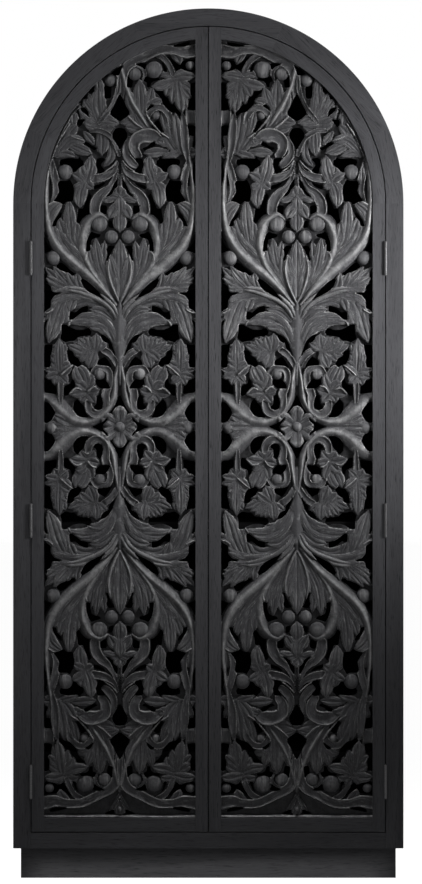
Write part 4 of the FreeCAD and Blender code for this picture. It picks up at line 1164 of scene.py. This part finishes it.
def grown(name, points, tree, material, radii=None, ways=None):
    """The plain mesh that a geometry tree makes on some points."""
    cloud = bpy.data.meshes.new(name)
    cloud.from_pydata(points, [], [])
    if radii:
        cloud.attributes.new("radius", "FLOAT", "POINT").data.foreach_set("value", radii)
    if ways:
        flat = [number for way in ways for number in way]
        cloud.attributes.new("way", "FLOAT_VECTOR", "POINT").data.foreach_set("vector", flat)
    thing = linked(name, cloud)
    modifier = thing.modifiers.new("grow", "NODES")
    modifier.node_group = tree
    for item in tree.interface.items_tree:
        if item.name == "Material":
            modifier[item.identifier] = material
    shown = thing.evaluated_get(bpy.context.evaluated_depsgraph_get())
    mesh = bpy.data.meshes.new_from_object(shown)
    mesh.name = name
    thing.modifiers.remove(modifier)
    thing.data = mesh
    bpy.data.meshes.remove(cloud)
    return thing


def carve_door(side, seed, berries):
    """The carved board of one door, in lengths, and the berries that stand on it."""
    carving = Carving(side, seed)
    for strokes, mirrorings in AREAS:
        carving.area(strokes, mirrorings)
    carving.flower()
    carving.raise_front()
    pieces = []
    cuts = [carving.low.z, *(carving.place(0, up)[1] for up in PART_CUTS), carving.high.z]
    for part, low_z, high_z in zip(PARTS, cuts, cuts[1:]):
        name = "%s_door_carving_%s" % (side, part)
        mesh = carving.part(name, low_z, high_z)
        mesh.materials.append(CARVED)
        mesh.materials.append(UPRIGHT)
        for polygon in mesh.polygons:
            if polygon.normal.y > FLAT_BACK:
                polygon.material_index = 1
        pieces.append(linked(name, mesh))
    carving.shell.free()
    points = [point for point, radius in carving.berries]
    radii = [radius for point, radius in carving.berries]
    pieces.append(grown(side + "_door_berries", points, berries, CARVED, radii=radii))
    for piece in pieces:
        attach(piece, side + "_door")
        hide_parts(carving.node)


SCREW_SPACING = 0.026975
SCREW_DEPTH = 0.0114  # behind the face of the frame


def screw_points(side, on_door):
    """Where one side's screws start, on the faces of its leaves."""
    stile = "%s_door_hinge_stile" % side if on_door else "frame_stile_%s" % side
    low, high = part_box(stile)
    outer_x, inner_x = (low.x, high.x) if side == "left" else (high.x, low.x)
    x = outer_x if on_door else inner_x
    points = []
    for level in LEVELS:
        leaf_low, leaf_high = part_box("hinge_%s_%s_frame_leaf" % (side, level))
        middle_z = (leaf_low.z + leaf_high.z) / 2
        for step in (-1, 0, 1):
            points.append((x, low.y + SCREW_DEPTH, middle_z + step * SCREW_SPACING))
    return points


def fit_screws():
    tree = screw_tree()
    groups = {"hinge_screws_frame": ("cabinet", [], [])}
    for side in SIDES:
        groups["hinge_screws_%s_door" % side] = (side + "_door", [], [])
        inwards = 1.0 if side == "left" else -1.0
        for on_door in (True, False):
            node = "hinge_screws_%s_door" % side if on_door else "hinge_screws_frame"
            points = screw_points(side, on_door)
            groups[node][1].extend(points)
            way = (inwards if on_door else -inwards, 0.0, 0.0)
            groups[node][2].extend([way] * len(points))
    for node, (body, points, ways) in groups.items():
        piece = grown(node + "_slotted", points, tree, SCREW_STEEL, ways=ways)
        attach(piece, body)
        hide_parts(node)


# Light, floor and camera


def aim(thing, target):
    thing.rotation_euler = (Vector(target) - thing.location).to_track_quat("-Z", "Y").to_euler()


def softbox(name, place, target, width, height, power, spread):
    lamp = bpy.data.lights.new(name, "AREA")
    lamp.shape = "RECTANGLE"
    lamp.size = width
    lamp.size_y = height
    lamp.energy = power
    lamp.spread = math.radians(spread)
    thing = linked(name, lamp)
    thing.location = place
    aim(thing, target)


def light_studio():
    softbox("right_light", (1.75, -1.0, 1.6), (0.4, -0.2, 1.5), 0.4, 0.6, 13.0, 60)
    softbox("left_light", (-1.75, -1.0, 1.6), (-0.4, -0.2, 1.5), 0.4, 0.6, 1.2, 60)
    softbox("foot_light", (0, -0.52, 2.5), (0, -0.2, 0.4), 0.9, 0.15, 1.5, 34)
    softbox("top_light", (0.1, -0.78, 3.7), (0.05, -0.2, 0.9), 1.4, 0.25, 8.0, 80)
    softbox("plinth_light", (0, -0.7, 0.03), (0, -0.157, 0.0), 0.9, 0.02, 0.12, 14)
    # The sides and the back are lit from behind the plane of the front.
    for side, way in (("right", 1), ("left", -1)):
        softbox(side + "_fill", (way * 2.4, 0.9, 1.2), (way * 0.49, 0.0, 1.0), 0.8, 1.2, 14.0, 70)
    softbox("back_fill", (0, 3.0, 1.4), (0, 0.2, 1.1), 0.8, 1.2, 18.0, 60)


def background_seen(tree):
    """1 for the rays that show the background, in a picture, a gloss or a glass."""
    path = tree.nodes.new("ShaderNodeLightPath").outputs
    mirrored = maths(tree, "MAXIMUM", path["Is Glossy Ray"], path["Is Transmission Ray"])
    return maths(tree, "MAXIMUM", path["Is Camera Ray"], mirrored)


WHITE = (1, 1, 1, 1)


def background():
    """White where it is seen, and a faint light on everything else."""
    world = bpy.data.worlds.new("studio")
    bpy.context.scene.world = world
    tree = cleared(world)
    plain = add(tree, "ShaderNodeBackground", {"Color": WHITE, "Strength": 1.0})
    light = add(tree, "ShaderNodeBackground", {"Color": WHITE, "Strength": 0.03})
    choice = add(tree, "ShaderNodeMixShader", {
        0: background_seen(tree), 1: light.outputs[0], 2: plain.outputs[0]})
    add(tree, "ShaderNodeOutputWorld", {"Surface": choice.outputs[0]})


FLOOR_REACH = 30.0


def studio_floor():
    """A pale floor that is as white as the background but for the shadows on it."""
    corners = [(x * FLOOR_REACH, y * FLOOR_REACH, 0)
               for x, y in ((-1, -1), (1, -1), (1, 1), (-1, 1))]
    mesh = bpy.data.meshes.new("studio_floor")
    mesh.from_pydata(corners, [], [(0, 1, 2, 3)])
    floor = linked("studio_floor", mesh)
    material = bpy.data.materials.new("pale_floor")
    tree = cleared(material)
    matt = add(tree, "ShaderNodeBsdfDiffuse", {"Color": (0.3, 0.3, 0.3, 1)})
    glow = add(tree, "ShaderNodeEmission", {"Color": WHITE, "Strength": 0.97})
    nothing = add(tree, "ShaderNodeEmission", {"Strength": 0.0})
    choice = add(tree, "ShaderNodeMixShader", {
        0: background_seen(tree), 1: nothing.outputs[0], 2: glow.outputs[0]})
    both = add(tree, "ShaderNodeAddShader", {0: matt.outputs[0], 1: choice.outputs[0]})
    add(tree, "ShaderNodeOutputMaterial", {"Surface": both.outputs[0]})
    mesh.materials.append(material)


CAMERA_DISTANCE = 9.0
CAMERA_X = 0.0068
CAMERA_Z = 1.1046
SEEN_HEIGHT = 2.233  # at the face of the cabinet


def set_camera():
    data = bpy.data.cameras.new("camera")
    data.sensor_fit = "VERTICAL"
    data.sensor_height = 36.0
    data.lens = data.sensor_height * CAMERA_DISTANCE / SEEN_HEIGHT
    data.clip_end = 100.0
    camera = linked("camera", data)
    face_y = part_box("frame_stile_left")[0].y
    camera.location = (CAMERA_X, face_y - CAMERA_DISTANCE, CAMERA_Z)
    aim(camera, (CAMERA_X, face_y, CAMERA_Z))
    bpy.context.scene.camera = camera


finish_cad_nodes()
berries = berry_tree()
for number, side in enumerate(SIDES):
    carve_door(side, FIRST_SEED + number, berries)
fit_screws()
background()
studio_floor()
light_studio()
set_camera()
bpy.context.scene.view_settings.view_transform = "Standard"
